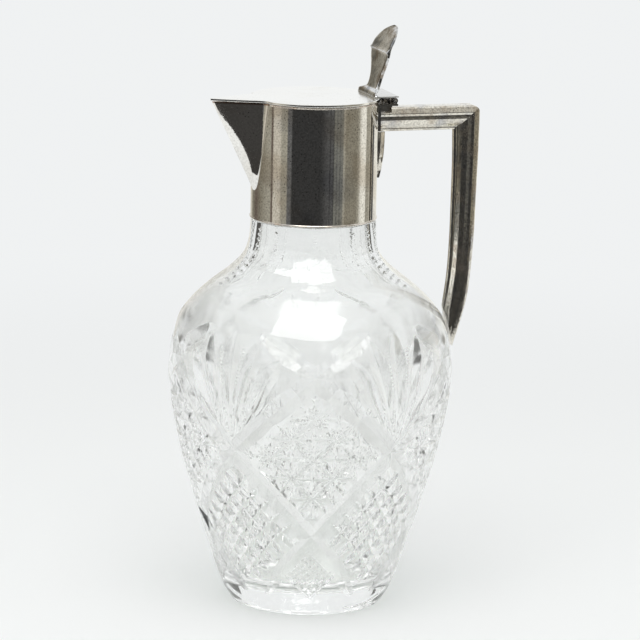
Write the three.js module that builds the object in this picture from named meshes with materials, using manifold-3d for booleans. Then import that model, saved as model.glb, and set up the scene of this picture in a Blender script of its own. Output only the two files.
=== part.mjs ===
// Claret jug: a cut-glass body with a silver-plated collar, spout, hinged lid and angular handle.
// Millimetres, +Z up. The origin is the centre of the flat foot, the handle points along +X
// and the spout along -X. The hinge pin lies along Y.

import * as THREE from 'three';
import { mergeVertices } from 'three/addons/utils/BufferGeometryUtils.js';
import Module from 'manifold-3d';

const wasm = await Module();
wasm.setup();

// Clearances
const GAP = 0.3; // between two soldered or resting faces that are curved
const PLAY = 0.1; // radial clearance of the pin in its knuckles

// Glass body
const FOOT_RADIUS = 32.6;
const BODY_OUTLINE = [
  [34.6, 2.0], [38.1, 8.0], [42.8, 22.0], [50.1, 45.0], [57.2, 70.0], [61.9, 95.0], [62.3, 109.0],
  [59.0, 125.0], [54.0, 133.0], [46.4, 140.5], [37.0, 148.0], [31.3, 154.0], [29.0, 160.0],
  [28.5, 166.0], [28.4, 171.2],
];
const NECK_OUTER = 24.6;
const NECK_BORE = 21.0;
const NECK_TOP = 184.0;
const SHOULDER_TOP = 171.2;
const BORE_BOTTOM = 164.0; // below this the inside widens with the shoulder
const WALL = 4.6;
const SHOULDER_WALL = 6.2; // the shoulder is thicker, because panels are cut into it
const BASE_THICKNESS = 10.0;
const FLOOR_FILLET = [[33.0, 15.0], [27.0, 11.0]]; // inner corner between wall and floor
const INNER_SHOULDER_LEVELS = [156, 150];
const INNER_WALL_LEVELS = [140, 128, 112, 92, 68, 44, 24];
const GLASS_SEGMENTS = 44;
const OUTLINE_STEPS = 14;

// Cut pattern: five repeats of wide mitre bands that cross each other, with lattices and fans
// between them, and flat panels round the neck
const PATTERN_REPEATS = 5;
const PATTERN_ANGLE = -104.8; // degrees, middle of the front diamond
const BAND_LEVELS = [126.7, 113.0, 77.5, 39.0, 12.0]; // upper end, then where it crosses its mirror image
const BAND_STEP_ANGLES = [-15.8, 0, 36, 72, 100]; // how far round the band has gone at those levels
const BAND_WIDTH = 7.6;
const BAND_DEPTH = 1.2;
const BAND_STEPS = 10;
const FIELD_HALF_TURN = 36; // degrees from the middle of a diamond to its side corner
const STAR_LINES = { shares: [0.25, 0.5, 0.75], ends: [0.09, 0.91], width: 3.0, depth: 0.95 };
const GRID_LINES = { shares: [0.217, 0.5, 0.783], ends: [0.05, 0.95], width: 3.7, depth: 1.1 };
const FIELD_STEPS = 2;
const FAN_LEAVES = [-2, -1, 0, 1, 2];
const FAN_SPREAD = 14; // degrees between two leaves of a fan
const FAN_START = 7.0; // from the crossing that the leaves spread from
const FAN_REACH = [52.5, 51.8, 49.0]; // ends of the middle leaf, its neighbours and the outer ones
const FAN_WIDTH = 9.6;
const FAN_DEPTH = 1.6;
const FAN_STEPS = 4;
const LEAF_WIDEST = 0.76; // share of a leaf's length where it is widest and deepest
const PANEL_COUNT = 10;
const PANEL_TOP = 168.5;
const PANEL_BOTTOM = 140.5;
const PANEL_DEPTH = 1.45;
const PANEL_STEPS = 7;
const PANEL_CUTTER_RISE = 4.0;
const CUTTER_RISE = 0.8; // how far a cutter stands out of the glass
const CUT_END_SHARE = 0.12; // least depth and width of a cut, at its ends, as a share of the deepest place

// Collar
const COLLAR_RADIUS = 27.5;
const COLLAR_WALL = 0.9;
const COLLAR_BOTTOM = 171.6;
const COLLAR_TOP = 223.6;
const COLLAR_SEGMENTS = 60;
const RIM_WIRE_HEIGHT = 1.1;
const RIM_WIRE_PROUD = 0.5;
const FOOT_WIRE_HEIGHT = 0.9;
const FOOT_WIRE_PROUD = 0.35;
const WIRE_SEAT = 0.05; // between the collar and a wire soldered round it

// Spout
const SPOUT_TIP = 46.8; // distance of the tip from the axis
const SPOUT_ROOT_HALF_WIDTH = 10.2;
const SPOUT_ROOT_POWER = 0.3; // the root widens fast near the bottom, like a ship's bow
const SPOUT_BOTTOM = 184.0;
const SPOUT_WALL = 1.0;
const SPOUT_LEVELS = 10;
const CHANNEL_RISE = 6.5; // of the channel's floor above the spout's lowest point
const SPOUT_BULGE = 0.7; // how far a flank bows outwards between root and tip
const SPOUT_FLARE = 2.6; // how much wider the root is where it runs into the collar
const SPOUT_BACK = 22.5; // the beak's blank starts this far from the axis, inside the collar
const FILLET_REACH = 0.16; // share of the way to the tip where the root's fillet ends
const FILLET_WIDTH = 0.84; // half width there, as a share of the root's
const FLANK_PULL = [0.6, 0.4]; // control point of a flank, as shares of reach and half width
const MOUTH_SHOULDER = 16.9; // height above the spout's lowest point where the mouth's arch ends

// Lid
const LID_RADIUS = 28.4;
const LID_BOTTOM = 223.9;
const LID_TOP = 225.0;
const LID_OVERHANG = 0.5; // of the lid's beak past the spout
const BEZEL_OUTER = 26.1;
const BEZEL_INNER = 25.2;
const BEZEL_BOTTOM = 221.3;

// Hinge
const PIN_X = 32.9;
const PIN_Z = 223.55;
const PIN_RADIUS = 0.6;
const KNUCKLE_RADIUS = 1.3;
const KNUCKLE_COUNT = 5;
const KNUCKLE_GAP = 0.25;
const HINGE_HALF_WIDTH = 11.2;
const WEB_HALF_WIDTH = 0.9;
const LEAF_FRONT = 23.0;
const LEAF_BACK = 34.3;
const LEAF_TOP = 225.6;
const LEAF_HALF_WIDTH = 11.8;
const SHELF_TOP = 222.1;
const SHELF_BOTTOM = 221.3;
const SHELF_BACK = 34.2;
const TANG_THICKNESS = 1.3; // of the plate between the collar and the handle's arm
const TANG_HALF_WIDTH = 4.2;
const TANG_BOTTOM = 209.2;
const SADDLE_FRONT = 32.6; // block that stands on the arm and carries the shelf's back edge
const SADDLE_HALF_WIDTH = 3.0;

// Thumbpiece: section as shares of half width and thickness, then the middle line in the XZ plane
// with the half width and the thickness at each point
const THUMB_SECTION = [
  [-1, 0], [-0.8, -0.4], [-0.3, -0.5], [0.3, -0.5], [0.8, -0.4],
  [1, 0], [0.8, 0.4], [0.3, 0.5], [-0.3, 0.5], [-0.8, 0.4],
];
const THUMB_STATIONS = [
  [24.0, 225.6, 12.2, 2.2],
  [24.1, 226.9, 12.2, 2.1],
  [24.4, 227.4, 9.3, 2.0],
  [25.2, 229.0, 7.6, 1.8],
  [26.2, 231.4, 6.8, 1.7],
  [27.5, 234.8, 6.4, 1.6],
  [28.2, 238.2, 7.8, 1.4],
  [28.6, 242.0, 10.2, 1.3],
  [29.6, 246.2, 11.6, 1.2],
  [31.9, 249.8, 10.6, 1.1],
  [34.0, 252.6, 7.6, 1.0],
  [35.5, 254.3, 4.0, 0.9],
  [36.0, 254.9, 1.2, 0.8],
];

// Handle
const ARM_BOTTOM = 208.6;
const ARM_TOP = 219.5;
const GRIP_INNER = [
  [63.4, 208.6], [63.7, 195.0], [63.6, 178.0], [63.3, 159.0], [62.4, 143.0], [60.6, 129.5],
];
const GRIP_OUTER = [
  [74.9, 219.5], [74.7, 201.0], [74.2, 181.0], [73.5, 157.0], [71.2, 133.0], [65.2, 111.4],
];
const GRIP_RINGS = 15;
const CORNER_ROUNDING = 4.0;
const NOTCH_X = 33.6;
const NOTCH_Z = 217.3;
// Half widths across the handle's section, from its inner face (0) to its outer face (1)
const HANDLE_SECTION = [
  [0.0, 1.4], [0.04, 2.1], [0.12, 1.6], [0.18, 1.75], [0.3, 3.25], [0.45, 4.15],
  [0.52, 3.85], [0.62, 4.5], [0.86, 4.1], [1.0, 1.7],
];
const GRIP_TIP_SCALE = 0.75; // width of the section at the lower end
const DROP_TOP = 208.3;
const DROP_BOTTOM = 188.0;
const DROP_HALF_WIDTH = 3.1;
const DROP_RIDGE = 32.0; // distance of the ridge from the axis at the top
const DROP_TIP_RIDGE = 29.9;
const DROP_LEVELS = 7;
const DROP_WAIST = 0.35; // share of the way from the collar to the ridge that keeps the full width
const DROP_RIDGE_SHARE = 0.12; // width of the ridge's flat, as a share of the drop's

// Cement ring between the glass neck and the collar
const CEMENT_TOP = 183.6;
const CEMENT_BOTTOM = 172.0;

// Blank that clears the collar's space from whatever is soldered to it
const CLEARING_BOTTOM = 170.0;
const CLEARING_TOP = 240.0;

// Small helpers
const degrees = (angle) => (angle * Math.PI) / 180;
const mix = (a, b, t) => a + (b - a) * t;

/** Keeps only positions, merges shared corners and turns the faces outwards. */
function closedGeometry(source) {
  const geometry = source.clone();
  geometry.deleteAttribute('normal');
  geometry.deleteAttribute('uv');
  const merged = mergeVertices(geometry, 1e-4);
  const index = merged.getIndex().array;
  const position = merged.getAttribute('position');
  const corner = [new THREE.Vector3(), new THREE.Vector3(), new THREE.Vector3()];
  const kept = [];
  let volume = 0;
  for (let i = 0; i < index.length; i += 3) {
    const [a, b, c] = [index[i], index[i + 1], index[i + 2]];
    if (a === b || b === c || c === a) continue;
    kept.push(a, b, c);
    corner.forEach((point, k) => point.fromBufferAttribute(position, index[i + k]));
    volume += corner[0].dot(corner[1].cross(corner[2]));
  }
  if (volume < 0) {
    for (let i = 0; i < kept.length; i += 3) [kept[i], kept[i + 1]] = [kept[i + 1], kept[i]];
  }
  merged.setIndex(kept);
  return merged;
}

function solid(source) {
  const geometry = closedGeometry(source);
  return new wasm.Manifold(new wasm.Mesh({
    numProp: 3,
    vertProperties: new Float32Array(geometry.getAttribute('position').array),
    triVerts: new Uint32Array(geometry.getIndex().array),
  }));
}

function geometryOf(body) {
  const mesh = body.getMesh();
  const geometry = new THREE.BufferGeometry();
  geometry.setAttribute('position', new THREE.BufferAttribute(new Float32Array(mesh.vertProperties), 3));
  geometry.setIndex(new THREE.BufferAttribute(new Uint32Array(mesh.triVerts), 1));
  return geometry;
}

/** Solid of revolution about Z from [radius, height] points. */
function turned(points, segments) {
  const profile = points.map(([radius, height]) => new THREE.Vector2(radius, height));
  return new THREE.LatheGeometry(profile, segments).rotateX(Math.PI / 2);
}

/** Square-edged ring about Z. */
function ring(inner, outer, bottom, top, segments = COLLAR_SEGMENTS) {
  return turned([[inner, bottom], [outer, bottom], [outer, top], [inner, top], [inner, bottom]], segments);
}

/** Cylinder about Z as wide as the collar and a margin, to trim what sits against the collar. */
function collarClearing(margin) {
  const radius = COLLAR_RADIUS + margin;
  const [bottom, top] = [CLEARING_BOTTOM, CLEARING_TOP];
  return solid(turned([[0, bottom], [radius, bottom], [radius, top], [0, top]], COLLAR_SEGMENTS));
}

function box(xRange, yRange, zRange) {
  const size = [xRange, yRange, zRange].map(([low, high]) => high - low);
  const middle = [xRange, yRange, zRange].map(([low, high]) => (low + high) / 2);
  return new THREE.BoxGeometry(...size).translate(...middle);
}

/** Closed skin through rings of equal point counts, each ring capped from its middle. */
function loft(rings) {
  const count = rings[0].length;
  const points = rings.flat();
  const faces = [];
  for (let level = 0; level < rings.length - 1; level += 1) {
    for (let k = 0; k < count; k += 1) {
      const a = level * count + k;
      const b = level * count + ((k + 1) % count);
      faces.push(a, b, b + count, a, b + count, a + count);
    }
  }
  const cap = (level, flip) => {
    const middle = new THREE.Vector3();
    rings[level].forEach((point) => middle.addScaledVector(point, 1 / count));
    points.push(middle);
    for (let k = 0; k < count; k += 1) {
      const a = level * count + k;
      const b = level * count + ((k + 1) % count);
      faces.push(...(flip ? [b, a] : [a, b]), points.length - 1);
    }
  };
  cap(0, true);
  cap(rings.length - 1, false);
  const geometry = new THREE.BufferGeometry().setFromPoints(points);
  geometry.setIndex(faces);
  return geometry;
}

// Glass body

const planePoints = (pairs) => pairs.map(([u, v]) => new THREE.Vector2(u, v));
const bodyCurve = new THREE.SplineCurve(planePoints(BODY_OUTLINE));
const bodySamples = bodyCurve.getPoints(BODY_OUTLINE.length * 12);

/** Outer radius of the uncut glass at a height. */
function bodyRadius(height) {
  const next = bodySamples.findIndex((point) => point.y >= height);
  if (next <= 0) return bodySamples[0].x;
  const [low, high] = [bodySamples[next - 1], bodySamples[next]];
  return mix(low.x, high.x, (height - low.y) / (high.y - low.y));
}

function bodyPoint(angle, height) {
  const radius = bodyRadius(height);
  return new THREE.Vector3(radius * Math.cos(angle), radius * Math.sin(angle), height);
}

function bodyNormal(angle, height) {
  const reach = 0.5;
  const slope = (bodyRadius(height + reach) - bodyRadius(height - reach)) / (2 * reach);
  return new THREE.Vector3(Math.cos(angle), Math.sin(angle), -slope).normalize();
}

/** Depth and width of an even cut with short run-outs, at share t of its length. */
const evenShare = (t) => Math.min(1, 6 * Math.min(t, 1 - t) + 0.3);

/** The same for a leaf, which widens slowly and ends in a short point. */
function leafShare(t) {
  const end = 1 - Math.max((t - LEAF_WIDEST) / (1 - LEAF_WIDEST), 0) ** 1.8;
  return Math.max(Math.min(t / LEAF_WIDEST, 1) * end, CUT_END_SHARE);
}

/** V-shaped cutter that follows [angle, height] stations on the glass. */
function mitreCutter(stations, width, depth, shareAt = evenShare) {
  const last = stations.length - 1;
  return loft(stations.map(([angle, height], i) => {
    const here = bodyPoint(angle, height);
    const normal = bodyNormal(angle, height);
    const [before, after] = [stations[Math.max(i - 1, 0)], stations[Math.min(i + 1, last)]];
    const along = bodyPoint(...after).sub(bodyPoint(...before)).normalize();
    const across = new THREE.Vector3().crossVectors(normal, along).normalize();
    const share = shareAt(i / last);
    const half = (width / 2) * share * ((depth * share + CUTTER_RISE) / (depth * share));
    const bottom = here.clone().addScaledVector(normal, -depth * share);
    const lifted = here.clone().addScaledVector(normal, CUTTER_RISE);
    return [
      bottom,
      lifted.clone().addScaledVector(across, half),
      lifted.clone().addScaledVector(across, -half),
    ];
  }));
}

/** How far round, in degrees, a band has gone when it has come down to a height. */
function bandTurn(height) {
  const span = BAND_LEVELS.findIndex((level, i) => height >= level && i > 0);
  const i = span < 0 ? BAND_LEVELS.length - 1 : span;
  const t = (BAND_LEVELS[i - 1] - height) / (BAND_LEVELS[i - 1] - BAND_LEVELS[i]);
  return mix(BAND_STEP_ANGLES[i - 1], BAND_STEP_ANGLES[i], t);
}

function bandStations(start, turnSign) {
  const [top, bottom] = [BAND_LEVELS[0], BAND_LEVELS[BAND_LEVELS.length - 1]];
  return Array.from({ length: BAND_STEPS + 1 }, (_, i) => {
    const height = mix(top, bottom, i / BAND_STEPS);
    return [degrees(start + turnSign * bandTurn(height)), height];
  });
}

/** Stations of a fan's leaf, which leaves the fan's middle at a lean from upright. */
function leafStations(start, leaf) {
  const lean = degrees(leaf * FAN_SPREAD);
  return Array.from({ length: FAN_STEPS + 1 }, (_, i) => {
    const out = mix(FAN_START, FAN_REACH[Math.abs(leaf)], i / FAN_STEPS);
    const height = BAND_LEVELS[2] + out * Math.cos(lean);
    return [degrees(start + FIELD_HALF_TURN) + (out * Math.sin(lean)) / bodyRadius(height), height];
  });
}

/** Point of a diamond-shaped field at shares u down its right edges and v down its left ones. */
function fieldPoint(middle, levels, u, v) {
  const [top, side, bottom] = levels;
  const height = top * (1 - u) * (1 - v) + side * (u + v - 2 * u * v) + bottom * u * v;
  return [degrees(middle + FIELD_HALF_TURN * (u - v)), height];
}

/** Cutters of the lines that cross a field both ways. */
function fieldCutters(middle, levels, { shares, ends, width, depth }) {
  const along = Array.from({ length: FIELD_STEPS + 1 }, (_, i) => mix(...ends, i / FIELD_STEPS));
  return shares.flatMap((share) => [
    along.map((place) => fieldPoint(middle, levels, place, share)),
    along.map((place) => fieldPoint(middle, levels, share, place)),
  ]).map((stations) => mitreCutter(stations, width, depth));
}

/** Flat-bottomed cutter down the neck and the shoulder; its sides stay clear of the glass. */
function panelCutter(angle) {
  const across = new THREE.Vector3(-Math.sin(angle), Math.cos(angle), 0);
  return loft(Array.from({ length: PANEL_STEPS + 1 }, (_, i) => {
    const t = i / PANEL_STEPS;
    const height = mix(PANEL_TOP, PANEL_BOTTOM, t);
    const [here, normal] = [bodyPoint(angle, height), bodyNormal(angle, height)];
    const depth = PANEL_DEPTH * Math.max(Math.sin(Math.PI * t), 0) ** 0.45 - 0.05;
    const half = bodyRadius(height) * Math.sin(Math.PI / PANEL_COUNT) * 1.25;
    return [[-half, -depth], [half, -depth], [half, PANEL_CUTTER_RISE], [-half, PANEL_CUTTER_RISE]].map(
      ([side, rise]) => here.clone().addScaledVector(across, side).addScaledVector(normal, rise),
    );
  }));
}

function glassBody() {
  const outer = bodyCurve.getPoints(OUTLINE_STEPS).map((point) => [point.x, point.y]);
  const inside = (levels, wall) => levels.map((height) => [bodyRadius(height) - wall, height]);
  const profile = [
    [0, 0], [FOOT_RADIUS, 0], ...outer, [NECK_OUTER, SHOULDER_TOP], [NECK_OUTER, NECK_TOP],
    [NECK_BORE, NECK_TOP], [NECK_BORE, BORE_BOTTOM],
    ...inside(INNER_SHOULDER_LEVELS, SHOULDER_WALL), ...inside(INNER_WALL_LEVELS, WALL),
    ...FLOOR_FILLET, [0, BASE_THICKNESS],
  ];
  const cutters = [];
  for (let k = 0; k < PATTERN_REPEATS; k += 1) {
    const start = PATTERN_ANGLE + (360 * k) / PATTERN_REPEATS;
    for (const sign of [1, -1]) cutters.push(mitreCutter(bandStations(start, sign), BAND_WIDTH, BAND_DEPTH));
    cutters.push(...fieldCutters(start, BAND_LEVELS.slice(1, 4), STAR_LINES));
    cutters.push(...fieldCutters(start + FIELD_HALF_TURN, BAND_LEVELS.slice(2), GRID_LINES));
    for (const leaf of FAN_LEAVES) {
      cutters.push(mitreCutter(leafStations(start, leaf), FAN_WIDTH, FAN_DEPTH, leafShare));
    }
  }
  for (let k = 0; k < PANEL_COUNT; k += 1) {
    cutters.push(panelCutter(degrees(PATTERN_ANGLE + (360 * (k + 0.5)) / PANEL_COUNT)));
  }
  const blank = solid(turned(profile, GLASS_SEGMENTS));
  return geometryOf(cutters.reduce((body, cutter) => body.subtract(solid(cutter)), blank));
}

const neckCement = () => ring(
  NECK_OUTER + GAP, COLLAR_RADIUS - COLLAR_WALL - GAP, CEMENT_BOTTOM, CEMENT_TOP,
);

// Spout and lid share one beak outline

/** One flank of the beak from the collar to the tip, as [distance towards the spout, half width]. */
function beakFlank(tip, rootHalfWidth, flare, bulge, steps = 5) {
  const reachAt = (half) => Math.sqrt(Math.max(COLLAR_RADIUS ** 2 - half ** 2, 0));
  const root = new THREE.Vector2(reachAt(rootHalfWidth), rootHalfWidth);
  const wide = new THREE.Vector2(reachAt(rootHalfWidth + flare), rootHalfWidth + flare);
  const filletEnd = new THREE.Vector2(
    mix(root.x, tip, FILLET_REACH),
    rootHalfWidth * FILLET_WIDTH + bulge / 2,
  );
  const pull = new THREE.Vector2(mix(root.x, tip, FLANK_PULL[0]), rootHalfWidth * FLANK_PULL[1] + bulge);
  const fillet = new THREE.QuadraticBezierCurve(wide, root, filletEnd);
  const flank = new THREE.QuadraticBezierCurve(filletEnd, pull, new THREE.Vector2(tip, 0));
  return [...fillet.getPoints(3), ...flank.getPoints(steps).slice(1)];
}

/** Ring round the beak at a height; inset moves its walls inwards. */
function beakRing(height, inset) {
  const share = Math.max((height - SPOUT_BOTTOM) / (COLLAR_TOP - SPOUT_BOTTOM), 0.001);
  const tip = mix(COLLAR_RADIUS - 0.2, SPOUT_TIP, share) - inset * 2;
  const half = Math.max(SPOUT_ROOT_HALF_WIDTH * share ** SPOUT_ROOT_POWER - inset, 0.05);
  const flank = beakFlank(tip, half, SPOUT_FLARE * share, SPOUT_BULGE * share);
  const side = [new THREE.Vector2(SPOUT_BACK, flank[0].y), ...flank];
  const mirrored = side.slice(0, -1).reverse().map((point) => new THREE.Vector2(point.x, -point.y));
  return [...side, ...mirrored].map((point) => new THREE.Vector3(-point.x, point.y, height));
}

/** Solid beak between two heights, with its rings closer together near the bottom. */
function beakSolid(bottom, top, inset) {
  const rings = Array.from({ length: SPOUT_LEVELS + 1 }, (_, i) => (
    beakRing(mix(bottom, top, (i / SPOUT_LEVELS) ** 1.7), inset)
  ));
  return solid(loft(rings));
}

function spout() {
  const outside = beakSolid(SPOUT_BOTTOM, COLLAR_TOP, 0);
  const channel = beakSolid(SPOUT_BOTTOM + CHANNEL_RISE, COLLAR_TOP + 1, SPOUT_WALL);
  return geometryOf(outside.subtract(channel).subtract(collarClearing(GAP)));
}

/** Collar tube with the arched mouth that opens into the spout. */
function collar() {
  const shell = solid(ring(COLLAR_RADIUS - COLLAR_WALL, COLLAR_RADIUS, COLLAR_BOTTOM, COLLAR_TOP));
  const half = SPOUT_ROOT_HALF_WIDTH - SPOUT_WALL - GAP;
  const [floor, shoulder] = [SPOUT_BOTTOM + CHANNEL_RISE + 1, SPOUT_BOTTOM + MOUTH_SHOULDER];
  const mouth = new THREE.Shape();
  mouth.moveTo(-half, COLLAR_TOP + 1);
  mouth.lineTo(-half, shoulder);
  mouth.quadraticCurveTo(-half, floor, 0, floor);
  mouth.quadraticCurveTo(half, floor, half, shoulder);
  mouth.lineTo(half, COLLAR_TOP + 1);
  mouth.closePath();
  const slab = new THREE.ExtrudeGeometry(mouth, { depth: 20, bevelEnabled: false, curveSegments: 6 })
    .rotateX(Math.PI / 2).rotateZ(Math.PI / 2).translate(-40, 0, 0);
  return geometryOf(shell.subtract(solid(slab)));
}

function collarRimWire() {
  const outer = COLLAR_RADIUS + RIM_WIRE_PROUD;
  const wire = solid(ring(COLLAR_RADIUS + WIRE_SEAT, outer, COLLAR_TOP - RIM_WIRE_HEIGHT, COLLAR_TOP));
  const reach = SPOUT_ROOT_HALF_WIDTH + SPOUT_FLARE + 0.5;
  const atSpout = box([-60, -10], [-reach, reach], [CLEARING_BOTTOM, CLEARING_TOP]);
  return geometryOf(wire.subtract(solid(atSpout)));
}

const collarFootWire = () => ring(
  COLLAR_RADIUS + WIRE_SEAT, COLLAR_RADIUS + FOOT_WIRE_PROUD,
  COLLAR_BOTTOM, COLLAR_BOTTOM + FOOT_WIRE_HEIGHT,
);

function lidPlate() {
  const [tip, rootHalf] = [SPOUT_TIP + LID_OVERHANG, SPOUT_ROOT_HALF_WIDTH + LID_OVERHANG];
  const flank = beakFlank(tip, rootHalf, SPOUT_FLARE, SPOUT_BULGE, 4);
  const root = Math.asin((rootHalf + SPOUT_FLARE) / LID_RADIUS);
  const shape = new THREE.Shape();
  shape.absarc(0, 0, LID_RADIUS, -Math.PI + root, Math.PI - root, false);
  flank.slice(1).forEach((point) => shape.lineTo(-point.x, point.y));
  flank.slice(1, -1).reverse().forEach((point) => shape.lineTo(-point.x, -point.y));
  const options = { depth: LID_TOP - LID_BOTTOM, bevelEnabled: false, curveSegments: 52 };
  return new THREE.ExtrudeGeometry(shape, options).translate(0, 0, LID_BOTTOM);
}

const lidBezel = () => ring(BEZEL_INNER, BEZEL_OUTER, BEZEL_BOTTOM, LID_BOTTOM);

// Hinge and thumbpiece

const lidHingeLeaf = () => box(
  [LEAF_FRONT, LEAF_BACK], [-LEAF_HALF_WIDTH, LEAF_HALF_WIDTH], [LID_TOP, LEAF_TOP],
);

/** Cylinder along Y about the hinge line. */
function barrel(radius, yRange, segments) {
  const length = yRange[1] - yRange[0];
  return new THREE.CylinderGeometry(radius, radius, length, segments)
    .translate(0, (yRange[0] + yRange[1]) / 2, 0)
    .translate(PIN_X, 0, PIN_Z);
}

/** Knuckle number k, with a web that stands on the shelf or hangs from the lid's leaf. */
function knuckle(k, webRange) {
  const pitch = (2 * HINGE_HALF_WIDTH) / KNUCKLE_COUNT;
  const low = -HINGE_HALF_WIDTH + k * pitch + (k > 0 ? KNUCKLE_GAP / 2 : 0);
  const high = -HINGE_HALF_WIDTH + (k + 1) * pitch - (k < KNUCKLE_COUNT - 1 ? KNUCKLE_GAP / 2 : 0);
  const web = box([PIN_X - WEB_HALF_WIDTH, PIN_X + WEB_HALF_WIDTH], [low, high], webRange);
  const bore = barrel(PIN_RADIUS + PLAY, [low - 1, high + 1], 20);
  return geometryOf(solid(barrel(KNUCKLE_RADIUS, [low, high], 20)).add(solid(web)).subtract(solid(bore)));
}

const hingePin = () => barrel(PIN_RADIUS, [-HINGE_HALF_WIDTH - 0.3, HINGE_HALF_WIDTH + 0.3], 20);

/** Shelf under the knuckles, with a tang down the collar's back and a saddle on the handle's arm. */
function hingeBracket() {
  const [tangInner, tangOuter] = [COLLAR_RADIUS + GAP, COLLAR_RADIUS + GAP + TANG_THICKNESS];
  const across = (half) => [-half, half];
  const tangRing = solid(ring(tangInner, tangOuter, TANG_BOTTOM, SHELF_TOP));
  const tangSlab = solid(box([0, SHELF_BACK], across(TANG_HALF_WIDTH), [CLEARING_BOTTOM, CLEARING_TOP]));
  const shelf = solid(box([0, SHELF_BACK], across(HINGE_HALF_WIDTH), [SHELF_BOTTOM, SHELF_TOP]));
  const saddle = solid(box([SADDLE_FRONT, SHELF_BACK], across(SADDLE_HALF_WIDTH), [ARM_TOP, SHELF_TOP]));
  return geometryOf(
    tangRing.intersect(tangSlab).add(shelf).add(saddle).subtract(collarClearing(GAP)),
  );
}

function thumbpiece() {
  const rings = THUMB_STATIONS.map(([x, z, half, thickness], i) => {
    const before = THUMB_STATIONS[Math.max(i - 1, 0)];
    const after = THUMB_STATIONS[Math.min(i + 1, THUMB_STATIONS.length - 1)];
    const along = new THREE.Vector2(after[0] - before[0], after[1] - before[1]).normalize();
    const level = i === 0 ? new THREE.Vector2(0, 1) : along;
    return THUMB_SECTION.map(([side, face]) => (
      new THREE.Vector3(x + level.y * face * thickness, side * half, z - level.x * face * thickness)
    ));
  });
  return loft(rings);
}

// Handle

const gripInner = new THREE.SplineCurve(planePoints(GRIP_INNER));
const gripOuter = new THREE.SplineCurve(planePoints(GRIP_OUTER));

/** Handle section between an inner and an outer point of the XZ plane. */
function handleRing(inner, outer, scale = 1) {
  const side = HANDLE_SECTION.map(([t, half]) => (
    new THREE.Vector3(mix(inner.x, outer.x, t), half * scale, mix(inner.y, outer.y, t))
  ));
  const mirrored = [...side].reverse().map((point) => new THREE.Vector3(point.x, -point.y, point.z));
  return [...side, ...mirrored];
}

/** What is left outside the rounded outer corner of the handle. */
function cornerTrim() {
  const [x, z] = GRIP_OUTER[0];
  const shape = new THREE.Shape();
  shape.moveTo(x - CORNER_ROUNDING, z);
  shape.absarc(x - CORNER_ROUNDING, z - CORNER_ROUNDING, CORNER_ROUNDING, Math.PI / 2, 0, true);
  shape.lineTo(x + 2, z - CORNER_ROUNDING);
  shape.lineTo(x + 2, z + 2);
  shape.lineTo(x - CORNER_ROUNDING, z + 2);
  shape.closePath();
  const slab = new THREE.ExtrudeGeometry(shape, { depth: 20, bevelEnabled: false, curveSegments: 6 });
  return solid(slab.rotateX(Math.PI / 2).translate(0, 10, 0));
}

/** Level bar from the tang to the mitre at the corner, notched at the top for the hinge. */
function handleArm() {
  const blankEnd = COLLAR_RADIUS - 4;
  const bar = solid(loft([
    handleRing(new THREE.Vector2(blankEnd, ARM_BOTTOM), new THREE.Vector2(blankEnd, ARM_TOP)),
    handleRing(gripInner.getPoint(0), gripOuter.getPoint(0)),
  ]));
  const notch = solid(box([0, NOTCH_X], [-10, 10], [NOTCH_Z, CLEARING_TOP]));
  return geometryOf(
    bar.subtract(collarClearing(TANG_THICKNESS + 2 * GAP)).subtract(notch).subtract(cornerTrim()),
  );
}

function handleGrip() {
  const rings = Array.from({ length: GRIP_RINGS + 1 }, (_, i) => {
    const t = i / GRIP_RINGS;
    return handleRing(gripInner.getPoint(t), gripOuter.getPoint(t), mix(1, GRIP_TIP_SCALE, t ** 3));
  });
  return geometryOf(solid(loft(rings)).subtract(cornerTrim()));
}

/** Pointed drop under the arm, ridged down its middle. */
function handleDrop() {
  const rings = Array.from({ length: DROP_LEVELS + 1 }, (_, i) => {
    const t = i / DROP_LEVELS;
    const height = mix(DROP_TOP, DROP_BOTTOM, t);
    const half = Math.max(DROP_HALF_WIDTH * (1 - t ** 2), 0.15);
    const ridge = mix(DROP_RIDGE, DROP_TIP_RIDGE, t ** 2.5);
    const [back, waist] = [COLLAR_RADIUS - 3, mix(COLLAR_RADIUS + GAP, ridge, DROP_WAIST)];
    const side = [[back, half], [waist, half], [ridge, half * DROP_RIDGE_SHARE]];
    const mirrored = [...side].reverse().map(([x, y]) => [x, -y]);
    return [...side, ...mirrored].map(([x, y]) => new THREE.Vector3(x, y, height));
  });
  return geometryOf(solid(loft(rings)).subtract(collarClearing(GAP)));
}

// Materials

const glassLook = { color: '#e9efee', roughness: 0.02, metalness: 0 };
const silverLook = { color: '#b9b4aa', roughness: 0.18, metalness: 1 };
const wornLook = { color: '#b39a86', roughness: 0.3, metalness: 1 };
const castLook = { color: '#a9a296', roughness: 0.34, metalness: 1 };
const pinLook = { color: '#8f8a82', roughness: 0.3, metalness: 1 };
const cementLook = { color: '#e4dfd2', roughness: 0.9, metalness: 0 };

const jug = new THREE.Group();

function place(name, geometry, look) {
  const mesh = new THREE.Mesh(closedGeometry(geometry), new THREE.MeshStandardMaterial(look));
  mesh.name = name;
  jug.add(mesh);
}

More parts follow.
